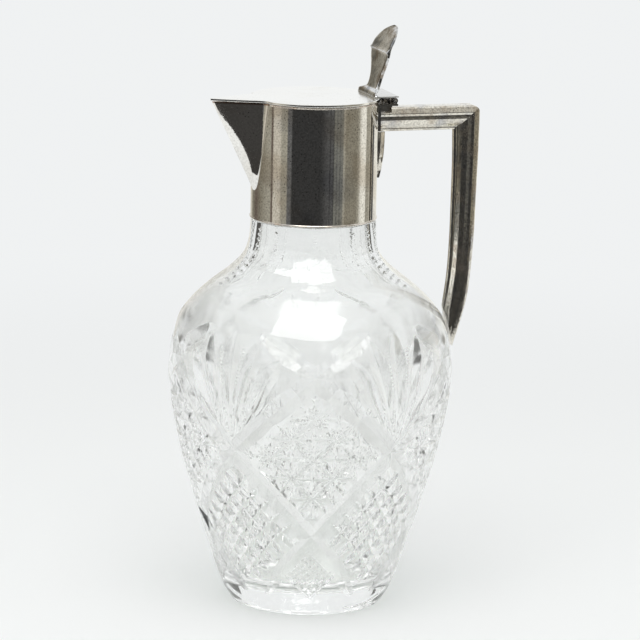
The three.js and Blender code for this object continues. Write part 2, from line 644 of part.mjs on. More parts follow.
place('glass_body', glassBody(), glassLook);
place('neck_cement', neckCement(), cementLook);
place('collar', collar(), silverLook);
place('collar_rim_wire', collarRimWire(), wornLook);
place('collar_foot_wire', collarFootWire(), wornLook);
place('spout', spout(), silverLook);
place('hinge_bracket', hingeBracket(), castLook);
for (let k = 0; k < KNUCKLE_COUNT; k += 1) {
  const onLid = k % 2 === 1;
  const name = onLid ? `lid_knuckle_${(k + 1) / 2}` : `bracket_knuckle_${k / 2 + 1}`;
  place(name, knuckle(k, onLid ? [PIN_Z, LID_TOP] : [SHELF_TOP, PIN_Z]), castLook);
}
place('hinge_pin', hingePin(), pinLook);
place('lid_plate', lidPlate(), silverLook);
place('lid_bezel', lidBezel(), silverLook);
place('lid_hinge_leaf', lidHingeLeaf(), silverLook);
place('thumbpiece', thumbpiece(), castLook);
place('handle_arm', handleArm(), castLook);
place('handle_grip', handleGrip(), castLook);
place('handle_drop', handleDrop(), castLook);

export default jug;
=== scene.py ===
"""Claret jug: a cut-glass body with silver-plated metalwork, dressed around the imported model.

The pieces are modelled in millimetres, in the model's own frame (+Z up, handle along +X, spout
along -X), and their meshes are brought to metres when they are finished.
"""

import logging
import math
from contextlib import contextmanager
from dataclasses import dataclass, field
from enum import Enum
from typing import Callable, Iterator, Sequence

import bmesh
import bpy
import numpy as np
from mathutils import Matrix, Vector


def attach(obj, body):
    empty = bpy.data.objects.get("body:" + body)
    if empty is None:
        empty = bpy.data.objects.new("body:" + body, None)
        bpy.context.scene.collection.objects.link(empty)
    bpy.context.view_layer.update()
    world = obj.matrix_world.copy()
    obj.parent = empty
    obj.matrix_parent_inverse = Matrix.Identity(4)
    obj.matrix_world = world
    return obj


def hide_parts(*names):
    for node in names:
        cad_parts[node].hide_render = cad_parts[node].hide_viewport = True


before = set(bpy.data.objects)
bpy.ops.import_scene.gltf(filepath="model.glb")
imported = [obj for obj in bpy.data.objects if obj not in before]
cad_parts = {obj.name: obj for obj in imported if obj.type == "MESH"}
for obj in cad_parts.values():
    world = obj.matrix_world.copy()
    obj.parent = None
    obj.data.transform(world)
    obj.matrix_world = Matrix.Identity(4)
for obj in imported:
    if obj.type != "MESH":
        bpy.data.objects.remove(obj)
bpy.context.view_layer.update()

log = logging.getLogger("jug")

MM = 0.001
ON_AXIS = 1e-6
WELD = 1e-4

Pair = tuple[float, float]
Point = tuple[float, float, float]
Colour = tuple[float, float, float]


class Body(str, Enum):
    """The two bodies of the jug that move against each other."""

    JUG = "jug"
    LID = "lid"


class Slot(str, Enum):
    """Names of material slots; no piece is given one here."""

    GLASS = "cut_glass"
    SILVER = "silver_plate"
    WORN = "worn_plate"
    CAST = "cast_plate"
    PIN = "pin_metal"


# Modelling by hand


def hold(piece: bpy.types.Object) -> None:
    """Selects one piece alone and makes it active, in object mode.

    Args:
        piece: The piece.
    """
    if bpy.context.mode != "OBJECT":
        bpy.ops.object.mode_set(mode="OBJECT")
    bpy.ops.object.select_all(action="DESELECT")
    piece.select_set(True)
    bpy.context.view_layer.objects.active = piece


@contextmanager
def editing(piece: bpy.types.Object, kind: str = "VERT") -> Iterator[None]:
    """Opens a piece in edit mode with nothing selected, and closes it again.

    Args:
        piece: The mesh to edit.
        kind: The select mode, VERT, EDGE or FACE.
    """
    hold(piece)
    bpy.ops.object.mode_set(mode="EDIT")
    bpy.ops.mesh.select_mode(type=kind)
    bpy.ops.mesh.select_all(action="DESELECT")
    yield
    bpy.ops.object.mode_set(mode="OBJECT")


def pick(piece: bpy.types.Object, kind: str, test: Callable[..., bool]) -> int:
    """Selects the vertices, edges or faces of a piece in edit mode that pass a test.

    Args:
        piece: The mesh that is open in edit mode.
        kind: verts, edges or faces.
        test: Says of one element whether it is picked.

    Returns:
        How many were picked.
    """
    form = bmesh.from_edit_mesh(piece.data)
    chosen = [element for element in getattr(form, kind) if test(element)]
    for element in chosen:
        element.select_set(True)
    form.select_flush_mode()
    bmesh.update_edit_mesh(piece.data)
    return len(chosen)


def modify(piece: bpy.types.Object, kind: str, **settings: object) -> None:
    """Adds one modifier with its settings and applies it.

    Args:
        piece: The piece to change.
        kind: The modifier's type.
        settings: Its settings, by name.
    """
    hold(piece)
    modifier = piece.modifiers.new(kind.title(), kind)
    for name, value in settings.items():
        setattr(modifier, name, value)
    bpy.ops.object.modifier_apply(modifier=modifier.name)


def cut(piece: bpy.types.Object, cutter: bpy.types.Object, operation: str = "DIFFERENCE") -> None:
    """Joins, cuts or trims a piece with another, which is used up."""
    modify(piece, "BOOLEAN", object=cutter, operation=operation, solver="MANIFOLD")
    bpy.data.objects.remove(cutter)


def named(name: str) -> bpy.types.Object:
    """Names the object just added.

    Args:
        name: Its name, which its mesh gets too.

    Returns:
        The object.
    """
    piece = bpy.context.active_object
    piece.name = name
    piece.data.name = name
    return piece


def turned(name: str, outline: Sequence[Pair], steps: int) -> bpy.types.Object:
    """Spins a closed outline round Z into a solid.

    Args:
        name: The new object's name.
        outline: (radius, height) points of the section, in order; it may run along the axis.
        steps: How many steps the turn has.

    Returns:
        The solid.
    """

    def along_axis(edge: bmesh.types.BMEdge) -> bool:
        """Whether an edge lies on the axis."""
        return all(abs(vertex.co.x) < ON_AXIS for vertex in edge.verts)

    bpy.ops.object.select_all(action="DESELECT")
    bpy.ops.mesh.primitive_circle_add(vertices=len(outline), fill_type="NOTHING")
    piece = named(name)
    for vertex, (radius, height) in zip(piece.data.vertices, outline):
        vertex.co = (radius, 0.0, height)
    with editing(piece, "EDGE"):
        if pick(piece, "edges", along_axis):
            bpy.ops.mesh.delete(type="EDGE")
        bpy.ops.mesh.select_all(action="SELECT")
        bpy.ops.mesh.spin(steps=steps, angle=math.tau, center=(0, 0, 0), axis=(0, 0, 1))
        bpy.ops.mesh.select_all(action="SELECT")
        bpy.ops.mesh.remove_doubles(threshold=WELD)
        bpy.ops.mesh.normals_make_consistent(inside=False)
    return piece


def lofted(name: str, rings: Sequence[Sequence[Point]]) -> bpy.types.Object:
    """Draws a closed solid from ring to ring: its end face is extruded and laid on the next ring.

    Args:
        name: The new object's name.
        rings: Rings of equal point counts.

    Returns:
        The solid.
    """
    bpy.ops.object.select_all(action="DESELECT")
    bpy.ops.mesh.primitive_circle_add(vertices=len(rings[0]), fill_type="NGON")
    piece = named(name)
    place = piece.data.attributes.new("place", "INT", "POINT")
    place.data.foreach_set("value", list(range(len(rings[0]))))
    for vertex, point in zip(piece.data.vertices, rings[0]):
        vertex.co = point
    with editing(piece, "FACE"):
        bpy.ops.mesh.select_all(action="SELECT")
        for ring in rings[1:]:
            bpy.ops.mesh.extrude_region_move()
            form = bmesh.from_edit_mesh(piece.data)
            layer = form.verts.layers.int["place"]
            for vertex in form.verts:
                if vertex.select:
                    vertex.co = ring[vertex[layer]]
            bmesh.update_edit_mesh(piece.data)
        bpy.ops.mesh.select_all(action="SELECT")
        bpy.ops.mesh.normals_make_consistent(inside=False)
    piece.data.attributes.remove(piece.data.attributes["place"])
    return piece


def block(name: str, low: Point, high: Point) -> bpy.types.Object:
    """Adds a box between two corners.

    Args:
        name: The new object's name.
        low: The corner with the smallest coordinates.
        high: The corner with the largest coordinates.

    Returns:
        The box.
    """
    bpy.ops.object.select_all(action="DESELECT")
    bpy.ops.mesh.primitive_cube_add(size=1.0)
    piece = named(name)
    size, middle = Vector(high) - Vector(low), (Vector(high) + Vector(low)) / 2
    piece.data.transform(Matrix.Translation(middle) @ Matrix.Diagonal((*size, 1.0)))
    return piece


def finished(
    piece: bpy.types.Object,
    body: Body,
    material: bpy.types.Material,
    stands_for: Sequence[str] = (),
    smooth_angle: float = 30.0,
) -> bpy.types.Object:
    """Brings a piece to metres, shades it, dresses it and sets it on its body.

    Args:
        piece: The modelled mesh, in millimetres.
        body: The body it rides on.
        material: Its finish.
        stands_for: The model's nodes that it replaces.
        smooth_angle: Edges sharper than this many degrees stay crisp.

    Returns:
        The same piece.
    """
    piece.data.transform(Matrix.Scale(MM, 4))
    piece.data.materials.clear()
    piece.data.materials.append(material)
    hold(piece)
    bpy.ops.object.shade_smooth_by_angle(angle=math.radians(smooth_angle))
    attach(piece, body.value)
    if stands_for:
        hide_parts(*stands_for)
    log.info("%s: %d faces on %s", piece.name, len(piece.data.polygons), body.value)
    return piece


# Plane curves


def spline(points: Sequence[Sequence[float]], per_span: int) -> list[tuple[float, ...]]:
    """Smooth curve through points, the same that the model's outline uses.

    Args:
        points: The points that it passes.
        per_span: How many steps lie between two of them.

    Returns:
        The points of the curve.
    """
    knots = [np.array(point, float) for point in points]
    last = len(knots) - 1
    curve = []
    for i in range(last):
        before, here = knots[max(i - 1, 0)], knots[i]
        after, beyond = knots[i + 1], knots[min(i + 2, last)]
        leave, arrive = (after - before) / 2, (beyond - here) / 2
        for step in range(per_span):
            t = step / per_span
            place = (
                (2 * t**3 - 3 * t**2 + 1) * here
                + (t**3 - 2 * t**2 + t) * leave
                + (3 * t**2 - 2 * t**3) * after
                + (t**3 - t**2) * arrive
            )
            curve.append(tuple(map(float, place)))
    return [*curve, tuple(map(float, knots[-1]))]


def mix(a: float, b: float, t: float) -> float:
    """Value between a and b at share t."""
    return a + (b - a) * t


# Glass


class RunOut(Enum):
    """How a cut's depth goes along its length."""

    LENS = "deepest in the middle, out to a point at both ends"
    EVEN = "even, with short run-outs"
    LEAF = "widest past the middle, a long point at the start and a short one at the end"


@dataclass(frozen=True)
class Mitre:
    """One V-shaped wheel cut into the glass.

    Attributes:
        stations: What it follows, as (degrees round, height).
        width: Its width at the deepest place.
        depth: Its depth there.
        run_out: How it runs out at its ends.
    """

    stations: tuple[Pair, ...]
    width: float
    depth: float
    run_out: RunOut = RunOut.LENS

    def share(self, t: float) -> float:
        """Depth and width at a place along the cut, against the deepest place.

        Args:
            t: Share of the length.

        Returns:
            A share that never falls to nothing, so that the cutter stays solid.
        """
        blunt, pointed = 0.1, 0.06
        if self.run_out is RunOut.EVEN:
            rise, first = 6.0, 0.3
            return max(min(1.0, rise * min(t, 1 - t) + first), blunt)
        if self.run_out is RunOut.LEAF:
            widest, fullness = 0.76, 1.8
            end = 1.0 - max((t - widest) / (1 - widest), 0.0) ** fullness
            return max(min(t / widest, 1.0) * end, pointed)
        return max(math.sqrt(math.sin(math.pi * min(max(t, 0.0), 1.0))), blunt)

    def place(self, t: float) -> Pair:
        """Finds a place along the cut.

        Args:
            t: Share of the length.

        Returns:
            The place as (degrees round, height).
        """
        spans = len(self.stations) - 1
        i = min(int(t * spans), spans - 1)
        (a0, h0), (a1, h1) = self.stations[i], self.stations[i + 1]
        return mix(a0, a1, t * spans - i), mix(h0, h1, t * spans - i)


@dataclass(frozen=True)
class Diamond:
    """A four-cornered field on the glass, with corners as (degrees round, height)."""

    top: Pair
    right: Pair
    bottom: Pair
    left: Pair

    def at(self, u: float, v: float) -> Pair:
        """Finds a point of the field.

        Args:
            u: Share down the right-hand edges.
            v: Share down the left-hand edges.

        Returns:
            The point as (degrees round, height).
        """
        corners = np.array([self.top, self.right, self.left, self.bottom], float)
        weights = np.array([(1 - u) * (1 - v), u * (1 - v), (1 - u) * v, u * v])
        angle, height = weights @ corners
        return float(angle), float(height)

    def line(self, start: Pair, end: Pair, steps: int = 4) -> tuple[Pair, ...]:
        """Stations of a straight line between two (u, v) points."""
        shares = [k / steps for k in range(steps + 1)]
        return tuple(self.at(mix(start[0], end[0], t), mix(start[1], end[1], t)) for t in shares)


@dataclass
class CutGlassBody:
    """Blown lead-crystal body with its cut pattern, in millimetres.

    Heights and angles in degrees place the cuts, and each pair named cut is a width and a depth.
    """

    outline: tuple[Pair, ...] = (
        (34.6, 2.0), (38.1, 8.0), (42.8, 22.0), (50.1, 45.0), (57.2, 70.0), (61.9, 95.0),
        (62.3, 109.0), (59.0, 125.0), (54.0, 133.0), (46.4, 140.5), (37.0, 148.0),
        (31.3, 154.0), (29.0, 160.0), (28.5, 166.0), (28.4, 171.2),
    )
    inside: tuple[Pair, ...] = (
        (22.4, 179.0), (23.1, 174.0), (23.9, 169.0), (24.6, 164.4), (25.4, 160.0), (27.5, 155.0),
        (33.0, 148.3), (43.0, 140.4), (51.2, 131.0), (56.6, 119.0), (57.6, 108.0), (56.6, 92.0),
        (52.0, 68.0), (45.2, 44.0), (38.6, 24.0), (35.0, 15.5), (28.5, 11.4), (15.0, 10.2),
        (0.0, 10.0),
    )
    foot: tuple[Pair, ...] = (
        (0.0, 1.8), (28.6, 1.2), (30.2, 0.35), (31.2, 0.0), (32.6, 0.0), (33.6, 0.45), (34.2, 1.1),
    )
    outline_steps: int = 8
    inside_steps: int = 5
    neck_radius: float = 24.6
    neck_top: float = 184.0
    turn_steps: int = 180
    cutter_lift: float = 0.8
    cutter_segments: int = 10
    repeats: int = 5
    front_angle: float = -104.8
    band_levels: tuple[float, ...] = (126.7, 113.0, 77.5, 39.0, 12.0)
    band_angles: tuple[float, ...] = (-15.8, 0.0, 36.0, 72.0, 100.0)
    band_start: Pair = (-24.0, 130.0)
    band_cut: Pair = (7.6, 1.35)
    run_past: float = 2.0
    star_shares: tuple[float, ...] = (0.25, 0.5, 0.75)
    star_span: Pair = (0.09, 0.91)
    star_line_cut: Pair = (2.2, 0.7)
    star_ray_cut: Pair = (2.1, 0.65)
    needle_span: Pair = (0.028, 0.12)
    needle_cut: Pair = (1.6, 0.5)
    grid_span: Pair = (0.05, 0.95)
    grid_cut: Pair = (3.8, 1.4)
    lozenge_levels: tuple[float, ...] = (34.0, 21.5, 9.6)
    lozenge_half: float = 15.5
    lozenge_cut: Pair = (1.5, 0.5)
    fan_spread: float = 14.0
    fan_start: float = 7.0
    fan_reach: tuple[float, ...] = (52.5, 51.8, 49.0)
    fan_cut: Pair = (9.6, 1.6)
    notch_span: Pair = (31.0, 46.0)
    notch_count: int = 11
    notch_reach: float = 0.9
    notch_cut: Pair = (0.9, 0.5)
    panels: int = 10
    panel_span: Pair = (175.5, 140.5)
    panel_depth: float = 1.45
    ridge_notch_top: float = 168.0
    ridge_notch_pitch: float = 2.2
    ridge_notch_width: float = 1.9
    ridge_notches_by_panel: tuple[tuple[float, float, int], ...] = (
        (0.22, 1.6, 3), (0.3, 1.6, 8), (0.9, 2.6, 12),
        (1.3, 3.0, 12), (0.3, 1.6, 8), (0.22, 1.6, 3),
    )
    inner_haze: tuple[Pair, ...] = ((100.0, 0.06), (116.0, 0.15), (136.0, 0.15), (146.0, 0.02))
    band_haze: float = 0.25
    curve: list[Pair] = field(init=False)

    def __post_init__(self) -> None:
        """Draws the smooth outer outline once."""
        self.curve = spline(self.outline, self.outline_steps)

    def radius(self, height: float) -> float:
        """Outer radius of the uncut glass at a height."""
        heights = [point[1] for point in self.curve]
        return float(np.interp(height, heights, [point[0] for point in self.curve]))

    def spot(self, angle: float, height: float) -> Vector:
        """Point of the outer surface, with the angle in degrees."""
        turn, radius = math.radians(angle), self.radius(height)
        return Vector((radius * math.cos(turn), radius * math.sin(turn), height))

    def outward(self, angle: float, height: float) -> Vector:
        """Outward normal of the outer surface.

        Args:
            angle: Degrees round the axis.
            height: Height above the table.

        Returns:
            A vector of length 1.
        """
        turn, reach = math.radians(angle), 0.5
        slope = (self.radius(height + reach) - self.radius(height - reach)) / (2 * reach)
        return Vector((math.cos(turn), math.sin(turn), -slope)).normalized()

    def blank(self) -> bpy.types.Object:
        """Spins the uncut body, hollow inside, with a recess under its foot.

        Returns:
            The body, named as it is kept.
        """
        bore = self.inside[0][0]
        section = [
            *self.foot, *self.curve,
            (self.neck_radius, self.curve[-1][1]), (self.neck_radius, self.neck_top),
            (bore, self.neck_top), *spline(self.inside, self.inside_steps),
        ]
        return turned("cut_glass_body", section, self.turn_steps)

    def blade(self, segments: int) -> tuple[np.ndarray, list[tuple[int, ...]]]:
        """Models the three-cornered bar that every cut's cutter is bent from.

        Args:
            segments: How many lengths the bar is divided into.

        Returns:
            Its corners as (share of length, side, rise) and its faces.
        """
        bpy.ops.object.select_all(action="DESELECT")
        bpy.ops.mesh.primitive_cylinder_add(vertices=3, radius=1.0, depth=1.0)
        bar = named("blade")
        with editing(bar, "EDGE"):
            pick(bar, "edges", lambda edge: abs(edge.verts[0].co.z - edge.verts[1].co.z) > 0.5)
            bpy.ops.mesh.subdivide(number_cuts=segments - 1)
        corners = np.array([vertex.co for vertex in bar.data.vertices], float)
        low = corners[:, 1] < corners[:, 1].max() - 0.1
        side, rise = np.sign(np.round(corners[:, 0], 3)) * low, np.where(low, 1.0, 0.0)
        faces = [tuple(face.vertices) for face in bar.data.polygons]
        bpy.data.objects.remove(bar)
        return np.stack([corners[:, 2] + 0.5, side, rise], axis=1), faces

    def cutters(self, name: str, cuts: Sequence[Mitre], segments: int) -> bpy.types.Object:
        """Bends one blade along each cut.

        Args:
            name: The new object's name.
            cuts: Cuts that don't cross each other.
            segments: How many lengths each blade has.

        Returns:
            The blades as one object.
        """
        lift, step = self.cutter_lift, 0.02
        shape, faces = self.blade(segments)
        corners: list[Vector] = []
        skins: list[tuple[int, ...]] = []
        for mitre in cuts:
            first = len(corners)
            for t, side, rise in shape:
                here = mitre.place(t)
                normal = self.outward(*here)
                near, far = mitre.place(max(t - step, 0.0)), mitre.place(min(t + step, 1.0))
                along = (self.spot(*far) - self.spot(*near)).normalized()
                across = normal.cross(along).normalized()
                depth = mitre.depth * mitre.share(t)
                half = mitre.width / 2 * mitre.share(t) * (depth + lift) / depth
                height = lift if rise else -depth
                corners.append(self.spot(*here) + normal * height + across * (side * half))
            skins.extend(tuple(first + corner for corner in face) for face in faces)
        mesh = bpy.data.meshes.new(name)
        mesh.from_pydata(corners, [], skins)
        blades = bpy.data.objects.new(name, mesh)
        bpy.context.scene.collection.objects.link(blades)
        with editing(blades, "FACE"):
            bpy.ops.mesh.select_all(action="SELECT")
            bpy.ops.mesh.normals_make_consistent(inside=False)
        return blades

    def starts(self) -> list[float]:
        """Angle of each repeat's middle, in degrees."""
        return [self.front_angle + 360.0 * k / self.repeats for k in range(self.repeats)]

    def band_place(self, height: float) -> float:
        """How many degrees round a band has gone at a height."""
        levels = (*self.band_levels[::-1], self.band_start[1])
        return float(np.interp(height, levels, (*self.band_angles[::-1], self.band_start[0])))

    @property
    def half_repeat(self) -> float:
        """Degrees from the middle of a repeat to its edge."""
        return 180.0 / self.repeats

    def bands(self, sign: int) -> list[Mitre]:
        """The wide shallow bands that run down one way round.

        Args:
            sign: 1 for the bands that go anticlockwise seen from above, -1 for the others.

        Returns:
            One band for each repeat.
        """
        top, bottom, steps = self.band_start[1], self.band_levels[-1] - self.run_past, 28
        heights = [mix(top, bottom, k / steps) for k in range(steps + 1)]
        return [
            Mitre(
                tuple((start + sign * self.band_place(h), h) for h in heights),
                *self.band_cut, RunOut.EVEN,
            )
            for start in self.starts()
        ]

    def star_fields(self) -> list[Diamond]:
        """Lays out the upper diamonds, which hold the stars.

        Returns:
            One diamond a repeat.
        """
        (top, middle, bottom), half = self.band_levels[1:4], self.half_repeat
        return [
            Diamond((a, top), (a + half, middle), (a, bottom), (a - half, middle))
            for a in self.starts()
        ]

    def grid_fields(self) -> list[Diamond]:
        """Lays out the lower diamonds, which hold the flat-topped pyramids.

        Returns:
            One diamond a repeat.
        """
        top, middle, foot = self.band_levels[2:]
        bottom, half = foot - self.run_past, self.half_repeat
        return [
            Diamond((a + half, top), (a + 2 * half, middle), (a + half, bottom), (a, middle))
            for a in self.starts()
        ]

    def lozenges(self) -> list[Diamond]:
        """Lays out the small fine-cut lozenges between the feet of the bands.

        Returns:
            One lozenge a repeat.
        """
        (top, middle, bottom), half = self.lozenge_levels, self.lozenge_half
        return [
            Diamond((a, top), (a + half, middle), (a, bottom), (a - half, middle))
            for a in self.starts()
        ]

    def lattice(
        self,
        fields: Sequence[Diamond],
        shares: Sequence[float],
        ends: Pair,
        size: Pair,
        along_u: bool,
    ) -> list[Mitre]:
        """Parallel cuts across fields, one way.

        Args:
            fields: The fields to cut.
            shares: Where the cuts lie, as shares of the field's edge.
            ends: Where each cut starts and ends, as shares.
            size: Width and depth of a cut.
            along_u: Whether the cuts run along u.

        Returns:
            The cuts of all fields.
        """
        cuts = []
        for area in fields:
            for share in shares:
                start, end = ((ends[0], share), (ends[1], share))
                if not along_u:
                    start, end = (start[1], start[0]), (end[1], end[0])
                cuts.append(Mitre(area.line(start, end), *size, RunOut.EVEN))
        return cuts

    def star_rays(self, upright: bool) -> list[Mitre]:
        """Leaf-shaped rays between the crossings of the upper diamonds.

        Args:
            upright: Whether the rays stand upright; if not, they lie level.

        Returns:
            The rays of all repeats.
        """
        divisions, star_gap, edge_gap = 4, 0.03, 0.4
        step = (1, 1) if upright else (1, -1)
        crossings = [(i, j) for i in range(divisions + 1) for j in range(divisions + 1)]
        cuts = []
        for area in self.star_fields():
            for i, j in crossings:
                there = ((i + step[0]) / divisions, (j + step[1]) / divisions)
                if not all(0 <= share <= 1 for share in there):
                    continue
                here = (i / divisions, j / divisions)
                gaps = [
                    edge_gap if min(point) == 0 or max(point) == 1 else star_gap
                    for point in (here, there)
                ]
                start = tuple(mix(a, b, gaps[0]) for a, b in zip(here, there))
                end = tuple(mix(a, b, 1 - gaps[1]) for a, b in zip(here, there))
                cuts.append(Mitre(area.line(start, end), *self.star_ray_cut))
        return cuts

    def star_needles(self) -> list[Mitre]:
        """Fine rays round each star's centre, in between its long ones.

        Returns:
            The rays of all repeats.
        """
        near, far = self.needle_span
        turns = [math.radians(22.5 + 45 * k) for k in range(8)]
        centres = [(i, j) for i in self.star_shares for j in self.star_shares]
        cuts = []
        for area in self.star_fields():
            for i, j in centres:
                for turn in turns:
                    step = (math.cos(turn), math.sin(turn))
                    start = (i + near * step[0], j + near * step[1])
                    end = (i + far * step[0], j + far * step[1])
                    cuts.append(Mitre(area.line(start, end), *self.needle_cut))
        return cuts

    def fan_line(self, start: float, lean: float, near: float, far: float) -> tuple[Pair, ...]:
        """Stations that leave a fan's centre in a straight line.

        Args:
            start: Angle of the repeat's middle.
            lean: Degrees from upright.
            near: Distance of the first station from the centre.
            far: Distance of the last one.

        Returns:
            The stations as (degrees round, height).
        """
        turn, centre, steps = math.radians(lean), self.band_levels[2], 6
        stations = []
        for step in range(steps + 1):
            out = mix(near, far, step / steps)
            height = centre + out * math.cos(turn)
            aside = math.degrees(out * math.sin(turn) / self.radius(height))
            stations.append((start + self.half_repeat + aside, height))
        return tuple(stations)

    def fan(self, numbers: Sequence[int]) -> list[Mitre]:
        """Long leaves that spread upwards from where the bands cross.

        Args:
            numbers: Which leaves, counted from the upright one; negative ones lean back.

        Returns:
            These leaves of all repeats.
        """
        return [
            Mitre(
                self.fan_line(start, k * self.fan_spread, self.fan_start, self.fan_reach[abs(k)]),
                *self.fan_cut, RunOut.LEAF,
            )
            for start in self.starts()
            for k in numbers
        ]

    def fan_notches(self) -> list[Mitre]:
        """Small notches up the ridges beside each fan's middle leaf.

        Returns:
            The notches of all repeats.
        """
        cuts = []
        for start in self.starts():
            for side in (-0.5, 0.5):
                ridge = Mitre(
                    self.fan_line(start, side * self.fan_spread, *self.notch_span), *self.notch_cut
                )
                for step in range(self.notch_count):
                    angle, height = ridge.place(step / (self.notch_count - 1))
                    half = math.degrees(self.notch_reach / self.radius(height))
                    across = ((angle - half, height), (angle + half, height))
                    cuts.append(Mitre(across, *self.notch_cut))
        return cuts

    def panel_cutters(self, first: int) -> bpy.types.Object:
        """Models one flat-bottomed cutter and copies it round the neck to every second panel.

        Args:
            first: Number of the first panel, 0 or 1.

        Returns:
            The cutters as one object.
        """
        top, bottom = self.panel_span
        steps, rise_share, overlap, clear, run_out = 24, 0.12, 1.25, 4.0, 0.03
        rings = []
        for k in range(steps + 1):
            t = k / steps
            height = mix(top, bottom, t)
            fullness = min(t / rise_share, 1.0) ** 0.45 * (1.0 - t) ** 0.55
            depth = self.panel_depth * fullness - run_out
            half = self.radius(height) * math.sin(math.pi / self.panels) * overlap
            here, normal = self.spot(0.0, height), self.outward(0.0, height)
            floor = ((-half, -depth), (0.0, -depth), (half, -depth))
            corners = (*floor, (half, clear), (-half, clear))
            rings.append([here + Vector((0, side, 0)) + normal * rise for side, rise in corners])
        cutter = lofted("panel_cutter", rings)
        pitch, copies = 360.0 / self.panels, []
        for k in range(first, self.panels, 2):
            hold(cutter)
            bpy.ops.object.duplicate()
            copy = bpy.context.active_object
            turn = math.radians(self.front_angle + pitch * (k + 0.5))
            copy.data.transform(Matrix.Rotation(turn, 4, "Z"))
            copies.append(copy)
        bpy.data.objects.remove(cutter)
        for copy in copies:
            copy.select_set(True)
        bpy.ops.object.join()
        return bpy.context.active_object

    def ridge_notches(self) -> list[Mitre]:
        """Small notches down the ridges between the panels, faint at the front and the back.

        Returns:
            The notches of all ridges.
        """
        cuts = []
        for k in range(self.panels):
            ridge = self.front_angle + 360.0 / self.panels * k
            depth, reach, count = self.ridge_notches_by_panel[min(k, self.panels - k)]
            for step in range(count):
                height = self.ridge_notch_top - self.ridge_notch_pitch * step
                half = math.degrees(reach / self.radius(height))
                across = ((ridge - half, height), (ridge + half, height))
                cuts.append(Mitre(across, self.ridge_notch_width, depth))
        return cuts

    def build(self) -> bpy.types.Object:
        """Cuts the whole pattern into the blank.

        Returns:
            The body, which still has to be finished.
        """
        glass = self.blank()
        grid_shares = [0.075 + 0.85 * k / 6 for k in range(1, 6)]
        stars = (self.star_fields(), self.star_shares, self.star_span, self.star_line_cut)
        grid = (self.grid_fields(), grid_shares, self.grid_span, self.grid_cut)
        fine = (self.lozenges(), [k / 7 for k in range(8)], (0.0, 1.0), self.lozenge_cut)
        groups = {
            "bands_left": self.bands(1),
            "bands_right": self.bands(-1),
            "star_lines_u": self.lattice(*stars, along_u=True),
            "star_lines_v": self.lattice(*stars, along_u=False),
            "star_rays_upright": self.star_rays(True),
            "star_rays_level": self.star_rays(False),
            "star_needles": self.star_needles(),
            "grid_u": self.lattice(*grid, along_u=True),
            "grid_v": self.lattice(*grid, along_u=False),
            "fine_u": self.lattice(*fine, along_u=True),
            "fine_v": self.lattice(*fine, along_u=False),
            "fan_even": self.fan((-2, 0, 2)),
            "fan_odd": self.fan((-1, 1)),
            "fan_notches": self.fan_notches(),
        }
        for name, cuts in groups.items():
            cut(glass, self.cutters(name, cuts, self.cutter_segments))
            log.info("glass after %s: %d faces", name, len(glass.data.polygons))
        for first in (0, 1):
            cut(glass, self.panel_cutters(first))
        cut(glass, self.cutters("ridge_notches", self.ridge_notches(), 2))
        self.mark_haze(glass)
        return glass

    def mark_haze(self, glass: bpy.types.Object) -> None:
        """Stores on each face how much it blurs what is seen through it.

        The inner wall is a little clouded, and the wide bands are ground less clear.

        Args:
            glass: The cut body, in millimetres.
        """
        in_wall, below_skin, half_band = 2.4, 0.04, self.band_cut[0] / 2
        centres = np.array([face.center for face in glass.data.polygons])
        heights, across = centres[:, 2], np.hypot(centres[:, 0], centres[:, 1])
        angles = np.degrees(np.arctan2(centres[:, 1], centres[:, 0]))
        radii, levels = zip(*self.curve)
        uncut = np.interp(heights, levels, radii)
        inside = (across < uncut - in_wall) & (heights > self.inside[-1][1] - self.run_past)
        haze = np.where(inside, np.interp(heights, *zip(*self.inner_haze)), 0.0)
        turn = np.array([self.band_place(height) for height in heights])
        gained = np.radians([self.band_place(h + 1) - self.band_place(h - 1) for h in heights])
        slope = gained / 2 * uncut
        cut_in = ~inside & (across < uncut - below_skin)
        cut_in &= heights > self.band_levels[-1] - self.run_past
        cut_in &= heights < self.band_levels[1] - self.run_past
        for start in self.starts():
            for sign in (-1, 1):
                away = np.radians((angles - start - sign * turn + 180.0) % 360.0 - 180.0) * uncut
                haze[cut_in & (abs(away) < half_band * np.hypot(1.0, slope))] = self.band_haze
        glass.data.attributes.new("haze", "FLOAT", "FACE").data.foreach_set("value", haze)


# Metalwork

BELOW_METAL, ABOVE_METAL = 160.0, 240.0


